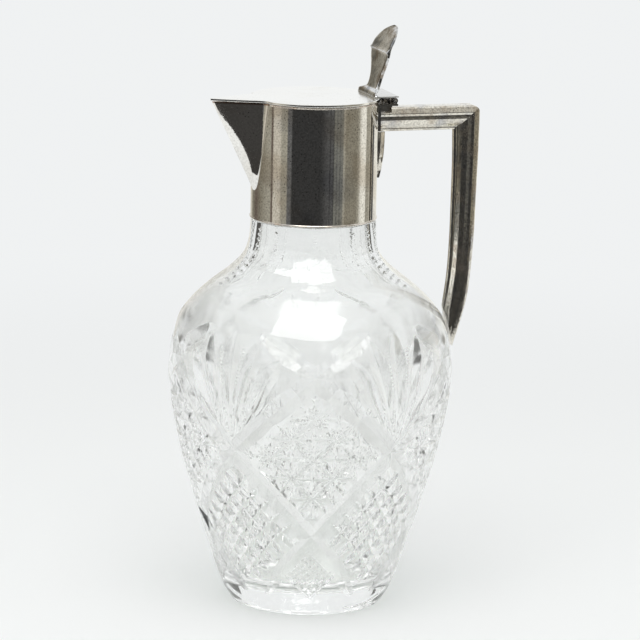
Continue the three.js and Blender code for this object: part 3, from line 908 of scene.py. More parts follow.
@dataclass
class Collar:
    """Sleeve round the neck, with its two edge wires and the mouth into the spout.

    Attributes:
        radius: Outer radius of the sleeve.
        wall: Its thickness.
        bottom: Height of its lower edge.
        top: Height of its upper edge.
        ease: How far its edges are rubbed down.
        mouth_half: Half the width of the mouth.
        mouth_floor: Height of the mouth's lowest point.
        mouth_shoulder: Height where the mouth's arch begins.
        rim_wire: Height of the wire on the upper edge.
        rim_gap_half: Half the gap in it, where the spout is.
        foot_wire: Height of the wire on the lower edge.
        wire_proud: How far the wires stand out.
        steps: How many steps a turn has.
    """

    radius: float = 27.5
    wall: float = 0.9
    bottom: float = 171.6
    top: float = 223.6
    ease: float = 0.12
    mouth_half: float = 8.9
    mouth_floor: float = 191.5
    mouth_shoulder: float = 200.9
    rim_wire: float = 0.75
    rim_gap_half: float = 13.3
    foot_wire: float = 0.9
    wire_proud: float = 0.35
    steps: int = 192

    def sleeve(self) -> bpy.types.Object:
        """Spins the sleeve and cuts the arched mouth through it.

        Returns:
            The sleeve.
        """
        inner, outer, ease = self.radius - self.wall, self.radius, self.ease
        section = [
            (inner, self.bottom), (outer - ease, self.bottom), (outer, self.bottom + ease),
            (outer, self.top - ease), (outer - ease, self.top), (inner, self.top),
        ]
        sleeve = turned("collar_sleeve", section, self.steps)
        half, drop = self.mouth_half, self.mouth_shoulder - self.mouth_floor
        turns = [math.pi * k / 12 for k in range(13)]
        arch = [(half * math.cos(a), self.mouth_shoulder - drop * math.sin(a)) for a in turns]
        arch += [(-half, self.top + 2), (half, self.top + 2)]
        cut(sleeve, lofted("mouth", [[(x, y, z) for y, z in arch] for x in (-20.0, -32.0)]))
        return sleeve

    def wire(self, name: str, low: float, high: float) -> bpy.types.Object:
        """Half-round wire soldered round the sleeve.

        Args:
            name: The new object's name.
            low: Height of its lower edge.
            high: Height of its upper edge.

        Returns:
            The wire.
        """
        middle, half, root = (low + high) / 2, (high - low) / 2, self.radius - 0.1
        turns = [math.pi * (k / 8 - 0.5) for k in range(9)]
        section = [
            (self.radius + self.wire_proud * math.cos(a), middle + half * math.sin(a))
            for a in turns
        ]
        return turned(name, [(root, low), *section, (root, high)], self.steps)

    def clearing(self, margin: float) -> bpy.types.Object:
        """Solid cylinder that trims whatever is soldered to the sleeve.

        Args:
            margin: How far it stands out past the sleeve.

        Returns:
            The cylinder, which the cut uses up.
        """
        reach, low, high = self.radius + margin, BELOW_METAL, ABOVE_METAL
        return turned("clearing", [(0, low), (reach, low), (reach, high), (0, high)], self.steps)

    def build(self, silver: bpy.types.Material, worn: bpy.types.Material) -> None:
        """Makes and dresses the sleeve and its wires.

        Args:
            silver: Finish of the sleeve.
            worn: Finish of the wires.
        """
        finished(self.sleeve(), Body.JUG, silver, ["collar"])
        rim, half = self.wire("rim_wire", self.top - self.rim_wire, self.top), self.rim_gap_half
        cut(rim, block("gap", (-60, -half, 200), (-10, half, ABOVE_METAL)))
        finished(rim, Body.JUG, worn, ["collar_rim_wire"])
        foot = self.wire("foot_wire", self.bottom, self.bottom + self.foot_wire)
        finished(foot, Body.JUG, worn, ["collar_foot_wire"])


@dataclass
class Beak:
    """The spout, and the outline that it shares with the lid.

    Attributes:
        collar: The collar that it is soldered to.
        tip: How far its tip reaches from the axis.
        root_half: Half its width at the collar's top.
        bottom: Height of its lowest point.
        wall: Thickness of its sheet.
        channel_rise: How far its channel stays above its lowest point.
        bulge: How far its sides swell.
        flare: How far it flares into the collar.
        inner_end: Where it ends inside the collar before it is trimmed.
    """

    collar: Collar
    tip: float = 46.8
    root_half: float = 10.2
    bottom: float = 184.0
    wall: float = 1.0
    channel_rise: float = 6.5
    bulge: float = 0.7
    flare: float = 2.6
    inner_end: float = 22.5

    @staticmethod
    def bend(start: Pair, pull: Pair, end: Pair, steps: int) -> list[Pair]:
        """Plane curve between two points, drawn towards a third.

        Args:
            start: Where it starts.
            pull: The point that draws it.
            end: Where it ends.
            steps: How many steps it has.

        Returns:
            Its points.
        """
        return [
            tuple(
                (1 - t) ** 2 * a + 2 * t * (1 - t) * b + t * t * c
                for a, b, c in zip(start, pull, end)
            )
            for t in (k / steps for k in range(steps + 1))
        ]

    def at_collar(self, half: float) -> Pair:
        """Point of the collar's outside at a half width."""
        return math.sqrt(self.collar.radius**2 - half**2), half

    def flank(self, tip: float, half: float, flare: float, bulge: float) -> list[Pair]:
        """One side of the beak from the collar to the tip.

        Args:
            tip: How far the tip reaches.
            half: Half the width at the collar.
            flare: How far it flares there.
            bulge: How far it swells.

        Returns:
            Its points as (reach, half width).
        """
        root = self.at_collar(half)
        fillet_end = (mix(root[0], tip, 0.16), half * 0.84 + bulge / 2)
        pull = (mix(root[0], tip, 0.6), half * 0.4 + bulge)
        fillet = self.bend(self.at_collar(half + flare), root, fillet_end, 8)
        return [*fillet, *self.bend(fillet_end, pull, (tip, 0.0), 14)[1:]]

    def ring(self, height: float, inset: float) -> list[Point]:
        """Section of the beak at a height.

        Args:
            height: Its height.
            inset: How far its walls are moved inwards.

        Returns:
            The section's points.
        """
        thin, narrow = 0.001, 0.05
        share = max((height - self.bottom) / (self.collar.top - self.bottom), thin)
        tip = mix(self.collar.radius - 0.2, self.tip, share) - inset * 2
        half = max(self.root_half * share**0.3 - inset, narrow)
        side = self.flank(tip, half, self.flare * share, self.bulge * share)
        side = [(self.inner_end, side[0][1]), *side]
        return [(-x, y, height) for x, y in [*side, *((x, -y) for x, y in side[-2::-1])]]

    def solid(self, name: str, low: float, high: float, inset: float) -> bpy.types.Object:
        """Solid beak between two heights.

        Args:
            name: The new object's name.
            low: The lower height.
            high: The upper one.
            inset: How far its walls are moved inwards.

        Returns:
            The solid, with its sections closer together towards the lower end.
        """
        steps, crowding = 22, 1.7
        shares = [(k / steps) ** crowding for k in range(steps + 1)]
        return lofted(name, [self.ring(mix(low, high, share), inset) for share in shares])

    def on_ridge(self, edge: bmesh.types.BMEdge) -> bool:
        """Tells whether an edge runs down the spout's front ridge, outside the collar.

        Args:
            edge: The edge.

        Returns:
            Whether it does.
        """
        first, second = edge.verts
        outside = -self.collar.radius + 0.1
        in_middle = all(abs(v.co.y) < WELD and v.co.x < outside for v in edge.verts)
        return in_middle and abs(first.co.z - second.co.z) > 0.05

    def spout(self) -> bpy.types.Object:
        """Hollow spout, open at the top and into the collar.

        Returns:
            The spout.
        """
        spout = self.solid("beak_spout", self.bottom, self.collar.top, 0.0)
        with editing(spout, "EDGE"):
            pick(spout, "edges", self.on_ridge)
            bpy.ops.mesh.bevel(offset=0.45, segments=3, affect="EDGES")
        floor = self.bottom + self.channel_rise
        cut(spout, self.solid("channel", floor, self.collar.top + 1, self.wall))
        cut(spout, self.collar.clearing(-0.05))
        return spout

    def build(self, silver: bpy.types.Material) -> None:
        """Makes and dresses the spout."""
        finished(self.spout(), Body.JUG, silver, ["spout"])


@dataclass
class Lid:
    """Flat lid with its locating bezel, hinge leaf and thumbpiece.

    Attributes:
        beak: The spout whose outline it has.
        radius: Radius of its round part.
        bottom: Height of its lower face.
        top: Height of its upper face.
        overhang: How far it stands past the spout.
        bezel: Section of the bezel, as (radius, height).
        leaf: Two opposite corners of the hinge leaf.
        crease: Height of the crease across the thumbpiece.
        crease_depth: How deep it is.
        hollow: How far the thumbpiece's front is hollowed.
        thumb_stations: The thumbpiece from its foot to its tip, as (x, height, half width,
            thickness).
    """

    beak: Beak
    radius: float = 28.4
    bottom: float = 223.9
    top: float = 225.0
    overhang: float = 0.5
    bezel: tuple[Pair, ...] = ((25.2, 221.3), (26.1, 221.5), (26.1, 223.9), (25.2, 223.9))
    leaf: tuple[Point, Point] = ((23.0, -11.8, 225.0), (34.3, 11.8, 225.6))
    crease: float = 244.6
    crease_depth: float = 0.75
    hollow: float = 0.45
    thumb_stations: tuple[tuple[float, ...], ...] = (
        (24.0, 225.6, 12.2, 2.2), (24.1, 226.3, 12.2, 2.1), (24.7, 226.9, 9.4, 2.1),
        (26.0, 228.0, 7.2, 2.0), (26.9, 230.2, 6.7, 2.0), (27.8, 234.0, 7.4, 1.9),
        (28.6, 238.2, 9.6, 1.8), (29.1, 242.0, 11.6, 1.7), (29.9, 246.2, 12.1, 1.5),
        (32.0, 249.8, 11.0, 1.3), (34.0, 252.6, 7.8, 1.1), (35.5, 254.3, 4.0, 0.9),
        (36.0, 254.9, 1.2, 0.8),
    )

    def plate(self) -> bpy.types.Object:
        """Flat plate with eased edges in the beak's outline.

        Returns:
            The plate.
        """
        beak, steps = self.beak, 150
        half = beak.root_half + self.overhang
        flank = beak.flank(beak.tip + self.overhang, half, beak.flare, beak.bulge)
        root = math.asin((half + beak.flare) / self.radius)
        turns = [mix(-math.pi + root, math.pi - root, k / steps) for k in range(steps + 1)]
        outline = [(self.radius * math.cos(a), self.radius * math.sin(a)) for a in turns]
        outline += [(-x, y) for x, y in flank[1:]] + [(-x, -y) for x, y in flank[-2:0:-1]]
        faces = [[(x, y, height) for x, y in outline] for height in (self.bottom, self.top)]
        plate = lofted("lid_flat", faces)
        modify(plate, "BEVEL", width=0.22, segments=2, limit_method="ANGLE", angle_limit=1.2)
        return plate

    def thumbpiece(self) -> bpy.types.Object:
        """Cast leaf that rises from the back of the lid.

        Its section is a rounded oblong, square at the sides and hollowed at the front.

        Returns:
            The thumbpiece.
        """
        corners, side_power, face_power, crease_reach = 24, 0.22, 0.5, 0.7
        stations = spline(self.thumb_stations, 5)
        rings = []
        for i, (x, z, half, thickness) in enumerate(stations):
            before, after = stations[max(i - 1, 0)], stations[min(i + 1, len(stations) - 1)]
            along = Vector((after[0] - before[0], after[1] - before[1])).normalized()
            if i < 2:
                along = Vector((0.0, 1.0))
            ring = []
            for k in range(corners):
                across, out = math.cos(math.tau * k / corners), math.sin(math.tau * k / corners)
                side = math.copysign(abs(across) ** side_power, across) * half
                face = math.copysign(abs(out) ** face_power, out) * thickness / 2
                if face < 0:
                    face += self.hollow * (1.0 - (side / half) ** 2)
                    face -= self.crease_depth * math.exp(-(((z - self.crease) / crease_reach) ** 2))
                ring.append((x + along.y * face, side, z - along.x * face))
            rings.append(ring)
        return lofted("thumb_leaf", rings)

    def build(
        self, polished: bpy.types.Material, silver: bpy.types.Material,
        cover: bpy.types.Material, thumb: bpy.types.Material,
    ) -> None:
        """Makes and dresses the lid's pieces.

        Args:
            polished: Finish of the plate.
            silver: Finish of the bezel.
            cover: Finish of the hinge leaf, darker than the other plate as painted shade.
            thumb: Finish of the thumbpiece.
        """
        crisp = 12.0
        finished(self.plate(), Body.LID, polished, ["lid_plate"], crisp)
        bezel = turned("lid_flange", self.bezel, 128)
        finished(bezel, Body.LID, silver, ["lid_bezel"])
        leaf = block("hinge_cover", *self.leaf)
        modify(leaf, "BEVEL", width=0.18, segments=2)
        finished(leaf, Body.LID, cover, ["lid_hinge_leaf"], crisp)
        finished(self.thumbpiece(), Body.LID, thumb, ["thumbpiece"])


@dataclass
class Hinge:
    """Five knuckles on a pin, and the bracket that carries them.

    Attributes:
        collar: The collar that the bracket is soldered to.
        lid_bottom: Height of the leaf that the lid's knuckles hang from.
        pin: Where the pin is, as (x, height).
        pin_radius: Its radius.
        knuckle_radius: Radius of a knuckle.
        half_width: Half the length of the row of knuckles.
        count: How many knuckles there are.
        gap: Gap between two of them.
        web_half: Half the thickness of the web that joins one to its plate.
        edge: How far the edges are rubbed down.
        shelf: Lower and upper height of the bracket's shelf.
        shelf_back: How far it reaches from the axis.
        tang: Section of the tang behind the collar, as (radius, height).
        tang_half: Half its width.
        saddle: Two opposite corners of the saddle under the shelf.
        brace: Two opposite corners of the brace under it.
    """

    collar: Collar
    lid_bottom: float = 225.0
    pin: Pair = (32.9, 223.55)
    pin_radius: float = 0.6
    knuckle_radius: float = 1.3
    half_width: float = 11.2
    count: int = 5
    gap: float = 0.25
    web_half: float = 0.9
    edge: float = 0.12
    shelf: Pair = (221.3, 222.1)
    shelf_back: float = 34.2
    tang: tuple[Pair, ...] = ((26.0, 209.2), (29.1, 209.2), (29.1, 222.1), (26.0, 222.1))
    tang_half: float = 4.2
    saddle: tuple[Point, Point] = ((32.6, -3.0, 219.4), (34.2, 3.0, 222.1))
    brace: tuple[Point, Point] = ((28.0, -2.8, 217.6), (33.2, 2.8, 222.0))

    def rod(self, name: str, radius: float, length: float) -> bpy.types.Object:
        """Round bar along the hinge line.

        Args:
            name: The new object's name.
            radius: Its radius.
            length: Its length.

        Returns:
            The bar.
        """
        bpy.ops.object.select_all(action="DESELECT")
        bpy.ops.mesh.primitive_cylinder_add(
            vertices=40, radius=radius, depth=length,
            location=(self.pin[0], 0.0, self.pin[1]), rotation=(math.pi / 2, 0.0, 0.0),
        )
        rod = named(name)
        bpy.ops.object.transform_apply(location=True, rotation=True, scale=True)
        return rod

    def knuckle(self, name: str, middle: float, upwards: bool) -> bpy.types.Object:
        """One knuckle with the web that joins it to its plate.

        Args:
            name: The new object's name.
            middle: Where its middle is along the pin.
            upwards: Whether its web goes up to the lid; if not, it goes down to the shelf.

        Returns:
            The knuckle.
        """
        length = 2 * self.half_width / self.count - self.gap
        barrel = self.rod(name, self.knuckle_radius, length)
        modify(barrel, "BEVEL", width=0.15, segments=2, limit_method="ANGLE", angle_limit=1.0)
        x, height = self.pin
        low, high = (height, self.lid_bottom) if upwards else (self.shelf[1] - 0.02, height)
        corner = length / 2 - 0.1
        web = block("web", (x - self.web_half, -corner, low), (x + self.web_half, corner, high))
        cut(barrel, web, "UNION")
        cut(barrel, self.rod("bore", self.pin_radius + 0.1, length + 2))
        barrel.data.transform(Matrix.Translation((0, middle, 0)))
        return barrel

    def bracket(self) -> bpy.types.Object:
        """Shelf, tang, saddle and brace in one casting against the collar's back.

        Returns:
            The bracket.
        """
        (low, high), half = self.shelf, self.half_width
        shelf = block("hinge_shelf", (20.0, -half, low), (self.shelf_back, half, high))
        tang = turned("tang", self.tang, 160)
        slab = block("slab", (0, -self.tang_half, 200), (40, self.tang_half, ABOVE_METAL))
        cut(tang, slab, "INTERSECT")
        for part in (tang, block("saddle", *self.saddle), block("brace", *self.brace)):
            cut(shelf, part, "UNION")
        cut(shelf, self.collar.clearing(0.0))
        modify(shelf, "BEVEL", width=self.edge, segments=1, limit_method="ANGLE", angle_limit=1.0)
        return shelf

    def build(self, dark: bpy.types.Material, pin_metal: bpy.types.Material) -> None:
        """Makes and dresses the bracket, the knuckles and the pin.

        Args:
            dark: Finish of the bracket and the knuckles.
            pin_metal: Finish of the pin.
        """
        finished(self.bracket(), Body.JUG, dark, ["hinge_bracket"])
        pitch = 2 * self.half_width / self.count
        for k in range(self.count):
            on_lid = k % 2 == 1
            owner, number = ("lid", (k + 1) // 2) if on_lid else ("bracket", k // 2 + 1)
            middle = -self.half_width + pitch * (k + 0.5)
            barrel = self.knuckle(f"{owner}_barrel_{number}", middle, on_lid)
            body = Body.LID if on_lid else Body.JUG
            finished(barrel, body, dark, [f"{owner}_knuckle_{number}"])
        pin = self.rod("pin_wire", self.pin_radius, 2 * self.half_width + 0.6)
        modify(pin, "BEVEL", width=0.2, segments=2, limit_method="ANGLE", angle_limit=1.0)
        finished(pin, Body.JUG, pin_metal, ["hinge_pin"])


@dataclass
class Handle:
    """Angular cast handle: a level arm, a mitred corner, an upright grip and a pointed drop.

    Attributes:
        collar: The collar that it is soldered to.
        arm: Lower and upper height of the arm.
        inner: Inner edge of the grip from the corner down, as (x, height).
        outer: Outer edge of the grip, the same way.
        section: Half the section, as (share from the inner to the outer edge, half width).
        rounding: Radius of the outer corner.
        arm_start: Where the arm starts inside the collar before it is trimmed.
        arm_gap: How far the arm stays off the collar.
        notch: Two opposite corners of the room that the arm leaves for the bracket.
        grip_end: How wide the grip is at its lower end, against its upper end.
        drop_span: Height of the drop's upper and lower end.
        drop_half: Half the drop's width at its upper end.
        drop_reach: How far its ridge stands from the axis at the upper and the lower end.
    """

    collar: Collar
    arm: Pair = (208.6, 219.5)
    inner: tuple[Pair, ...] = (
        (63.4, 208.6), (63.7, 195.0), (63.6, 178.0), (63.3, 159.0), (62.4, 143.0), (60.6, 129.5),
    )
    outer: tuple[Pair, ...] = (
        (74.9, 219.5), (74.7, 201.0), (74.2, 181.0), (73.5, 157.0), (71.2, 133.0), (65.2, 111.4),
    )
    section: tuple[Pair, ...] = (
        (0.0, 0.7), (0.015, 1.05), (0.04, 1.25), (0.1, 1.45), (0.115, 1.4), (0.13, 1.38),
        (0.15, 1.5), (0.165, 1.66), (0.27, 3.28), (0.285, 3.42), (0.395, 3.85),
        (0.47, 4.14), (0.485, 4.18), (0.5, 4.19), (0.62, 4.23), (0.635, 4.25), (0.645, 4.29),
        (0.715, 4.58), (0.73, 4.62), (0.745, 4.63), (0.76, 4.6), (0.78, 4.54), (0.925, 4.02),
        (0.945, 3.9), (0.975, 3.5), (1.0, 2.95),
    )
    rounding: float = 4.0
    arm_start: float = 24.0
    arm_gap: float = 1.55
    notch: tuple[Point, Point] = ((0.0, -10.0, 217.3), (33.6, 10.0, 240.0))
    grip_end: float = 0.75
    drop_span: Pair = (208.4, 188.0)
    drop_half: float = 3.1
    drop_reach: Pair = (32.0, 29.9)

    def ring(self, near: Pair, far: Pair, scale: float = 1.0) -> list[Point]:
        """Section between two points of the handle's plane.

        Args:
            near: The inner point.
            far: The outer point.
            scale: How wide it is, against the full section.

        Returns:
            The section's points.
        """
        side = [
            (mix(near[0], far[0], t), half * scale, mix(near[1], far[1], t))
            for t, half in self.section
        ]
        return [*side, *((x, -y, z) for x, y, z in reversed(side))]

    def corner(self) -> bpy.types.Object:
        """What is cut off the outer corner.

        Returns:
            The cutter, which the cut uses up.
        """
        x, z = self.outer[0]
        middle = (x - self.rounding, z - self.rounding)
        arc = [math.pi / 2 * (1 - k / 12) for k in range(13)]
        outline = [
            (middle[0] + self.rounding * math.cos(a), middle[1] + self.rounding * math.sin(a))
            for a in arc
        ]
        past = 2
        outline += [(x + past, middle[1]), (x + past, z + past), (middle[0], z + past)]
        return lofted("corner", [[(px, y, pz) for px, pz in outline] for y in (-10.0, 10.0)])

    def arm_piece(self) -> bpy.types.Object:
        """Level arm from the tang to the mitre.

        Returns:
            The arm.
        """
        starts = [(self.arm_start, height) for height in self.arm]
        ends, steps = (self.inner[0], self.outer[0]), 12
        rings = []
        for k in range(steps + 1):
            pair = [tuple(mix(a, b, k / steps) for a, b in zip(s, e)) for s, e in zip(starts, ends)]
            rings.append(self.ring(*pair))
        arm = lofted("handle_bar", rings)
        cut(arm, self.collar.clearing(self.arm_gap))
        cut(arm, block("notch", *self.notch))
        cut(arm, self.corner())
        return arm

    def grip_piece(self) -> bpy.types.Object:
        """Upright grip that narrows and curves in to its oblique end.

        Returns:
            The grip.
        """
        near, far = spline(self.inner, 10), spline(self.outer, 10)
        last = len(near) - 1
        rings = [
            self.ring(n, f, mix(1.0, self.grip_end, (k / last) ** 3))
            for k, (n, f) in enumerate(zip(near, far))
        ]
        grip = lofted("handle_upright", rings)
        cut(grip, self.corner())
        return grip

    def drop_piece(self) -> bpy.types.Object:
        """Pointed drop with a ridge down its middle.

        Returns:
            The drop.
        """
        steps, inside, narrow = 24, 24.5, 0.12
        rings = []
        for k in range(steps + 1):
            t = k / steps
            half = max(self.drop_half * (1 - t**2), narrow)
            ridge = mix(*self.drop_reach, t**2.5)
            waist = mix(self.collar.radius + 0.3, ridge, 0.35)
            flank = (mix(waist, ridge, 0.8), half * 0.22)
            side = [(inside, half), (waist, half), flank, (ridge, half * 0.08)]
            height = mix(*self.drop_span, t)
            rings.append([(x, y, height) for x, y in [*side, *((x, -y) for x, y in side[::-1])]])
        drop = lofted("handle_point", rings)
        cut(drop, self.collar.clearing(0.0))
        return drop

    def build(self, cast: bpy.types.Material) -> None:
        """Makes and dresses the handle's pieces.

        Args:
            cast: Their finish.
        """
        pieces = {
            "handle_arm": self.arm_piece(),
            "handle_grip": self.grip_piece(),
            "handle_drop": self.drop_piece(),
        }
        for node, piece in pieces.items():
            modify(piece, "BEVEL", width=0.12, segments=1, limit_method="ANGLE", angle_limit=0.5)
            finished(piece, Body.JUG, cast, [node], smooth_angle=20.0)


# Finishes

SPECK: Colour = (0.08, 0.07, 0.06)
PIT: Colour = (0.035, 0.03, 0.025)
# Colour of the recesses: partly dirt, partly painted shade.
RECESS_DIRT_AND_SHADE: Colour = (0.05, 0.038, 0.028)
COPPER: Colour = (0.30, 0.17, 0.11)


def new_material(name: str) -> tuple[bpy.types.Material, bpy.types.NodeTree]:
    """Adds a node material with its default shader and output.

    Args:
        name: Its name.

    Returns:
        The material and its nodes.
    """
    material = bpy.data.materials.new(name)
    material.use_nodes = True
    return material, material.node_tree


def noise(
    tree: bpy.types.NodeTree, scale: float, detail: float = 3.0, shift: float = 0.0
) -> bpy.types.NodeSocket:
    """Noise over the piece's own coordinates.

    Args:
        tree: The material's nodes.
        scale: Features per metre.
        detail: How many finer layers lie over it.
        shift: Moves the pattern, so that two of them differ.

    Returns:
        Its factor socket.
    """
    place = tree.nodes.new("ShaderNodeTexCoord")
    mapping = tree.nodes.new("ShaderNodeMapping")
    mapping.inputs["Location"].default_value = (shift, shift, shift)
    texture = tree.nodes.new("ShaderNodeTexNoise")
    texture.inputs["Scale"].default_value = scale
    texture.inputs["Detail"].default_value = detail
    tree.links.new(place.outputs["Object"], mapping.inputs["Vector"])
    tree.links.new(mapping.outputs["Vector"], texture.inputs["Vector"])
    return texture.outputs["Fac"]


def feed(tree: bpy.types.NodeTree, socket: bpy.types.NodeSocket, value: object) -> None:
    """Links a socket to an output, or sets its own value.

    Args:
        tree: The material's nodes.
        socket: The input to feed.
        value: An output socket, a number or a colour.
    """
    if isinstance(value, bpy.types.NodeSocket):
        tree.links.new(value, socket)
    else:
        socket.default_value = value


def arithmetic(tree: bpy.types.NodeTree, operation: str, *values: object) -> bpy.types.NodeSocket:
    """One calculation, kept between 0 and 1.

    Args:
        tree: The material's nodes.
        operation: The calculation, as the Math node names it.
        values: Sockets or numbers.

    Returns:
        The result's socket.
    """
    node = tree.nodes.new("ShaderNodeMath")
    node.operation = operation
    node.use_clamp = True
    for socket, value in zip(node.inputs, values):
        feed(tree, socket, value)
    return node.outputs[0]


def ranged(
    tree: bpy.types.NodeTree, value: bpy.types.NodeSocket, source: Pair, target: Pair
) -> bpy.types.NodeSocket:
    """Maps a value smoothly from one range onto another.

    Args:
        tree: The material's nodes.
        value: The value's socket.
        source: The range that it has.
        target: What the ends of that range become.

    Returns:
        The result's socket.
    """
    node = tree.nodes.new("ShaderNodeMapRange")
    node.interpolation_type = "SMOOTHSTEP"
    tree.links.new(value, node.inputs["Value"])
    node.inputs["From Min"].default_value, node.inputs["From Max"].default_value = source
    node.inputs["To Min"].default_value, node.inputs["To Max"].default_value = target
    return node.outputs["Result"]


def blended(
    tree: bpy.types.NodeTree, mode: str, factor: object, first: object, second: object
) -> bpy.types.NodeSocket:
    """Blends two colours, each a socket or a colour.

    Args:
        tree: The material's nodes.
        mode: The blend mode, such as MIX or MULTIPLY.
        factor: How much of the second is laid on.
        first: The colour below.
        second: The colour on top.

    Returns:
        The result's socket.
    """
    node = tree.nodes.new("ShaderNodeMix")
    node.data_type = "RGBA"
    node.blend_type = mode
    for number, value in ((0, factor), (6, first), (7, second)):
        if isinstance(value, tuple):
            value = (*value, 1.0)
        feed(tree, node.inputs[number], value)
    return node.outputs[2]


def ramp(
    tree: bpy.types.NodeTree, factor: bpy.types.NodeSocket, stops: Sequence[tuple[float, Colour]]
) -> bpy.types.NodeSocket:
    """Colour ramp over a factor.

    Args:
        tree: The material's nodes.
        factor: The factor's socket.
        stops: Places from 0 to 1 with their colours.

    Returns:
        The colour's socket.
    """
    node = tree.nodes.new("ShaderNodeValToRGB")
    elements = node.color_ramp.elements
    while len(elements) < len(stops):
        elements.new(0.5)
    for element, (position, colour) in zip(elements, stops):
        element.position = position
        element.color = (*colour, 1.0)
    tree.links.new(factor, node.inputs["Fac"])
    return node.outputs["Color"]


@dataclass(frozen=True)
class CrystalFinish:
    """Clear lead crystal, with a trace of grey-green.

    Attributes:
        name: The material's name.
        tint: Colour of what is seen through it.
        shade: Colour of the light that it lets through onto the table.
        ior: How strongly it bends light.
    """

    name: str = "lead_crystal"
    tint: Colour = (0.988, 0.992, 0.984)
    shade: Colour = (0.93, 0.945, 0.94)
    ior: float = 1.54

    def build(self) -> bpy.types.Material:
        """Makes the material, whose roughness is the haze that the faces carry.

        Returns:
            The material.
        """
        material, tree = new_material(self.name)
        shader = tree.nodes["Principled BSDF"]
        shader.inputs["Base Color"].default_value = (*self.tint, 1.0)
        shader.inputs["Transmission Weight"].default_value = 1.0
        shader.inputs["IOR"].default_value = self.ior
        haze = tree.nodes.new("ShaderNodeAttribute")
        haze.attribute_name = "haze"
        tree.links.new(haze.outputs["Fac"], shader.inputs["Roughness"])
        clear = tree.nodes.new("ShaderNodeBsdfTransparent")
        clear.inputs["Color"].default_value = (*self.shade, 1.0)
        path = tree.nodes.new("ShaderNodeLightPath")
        blend = tree.nodes.new("ShaderNodeMixShader")
        tree.links.new(path.outputs["Is Shadow Ray"], blend.inputs["Fac"])
        tree.links.new(shader.outputs["BSDF"], blend.inputs[1])
        tree.links.new(clear.outputs["BSDF"], blend.inputs[2])
        tree.links.new(blend.outputs["Shader"], tree.nodes["Material Output"].inputs["Surface"])
        return material


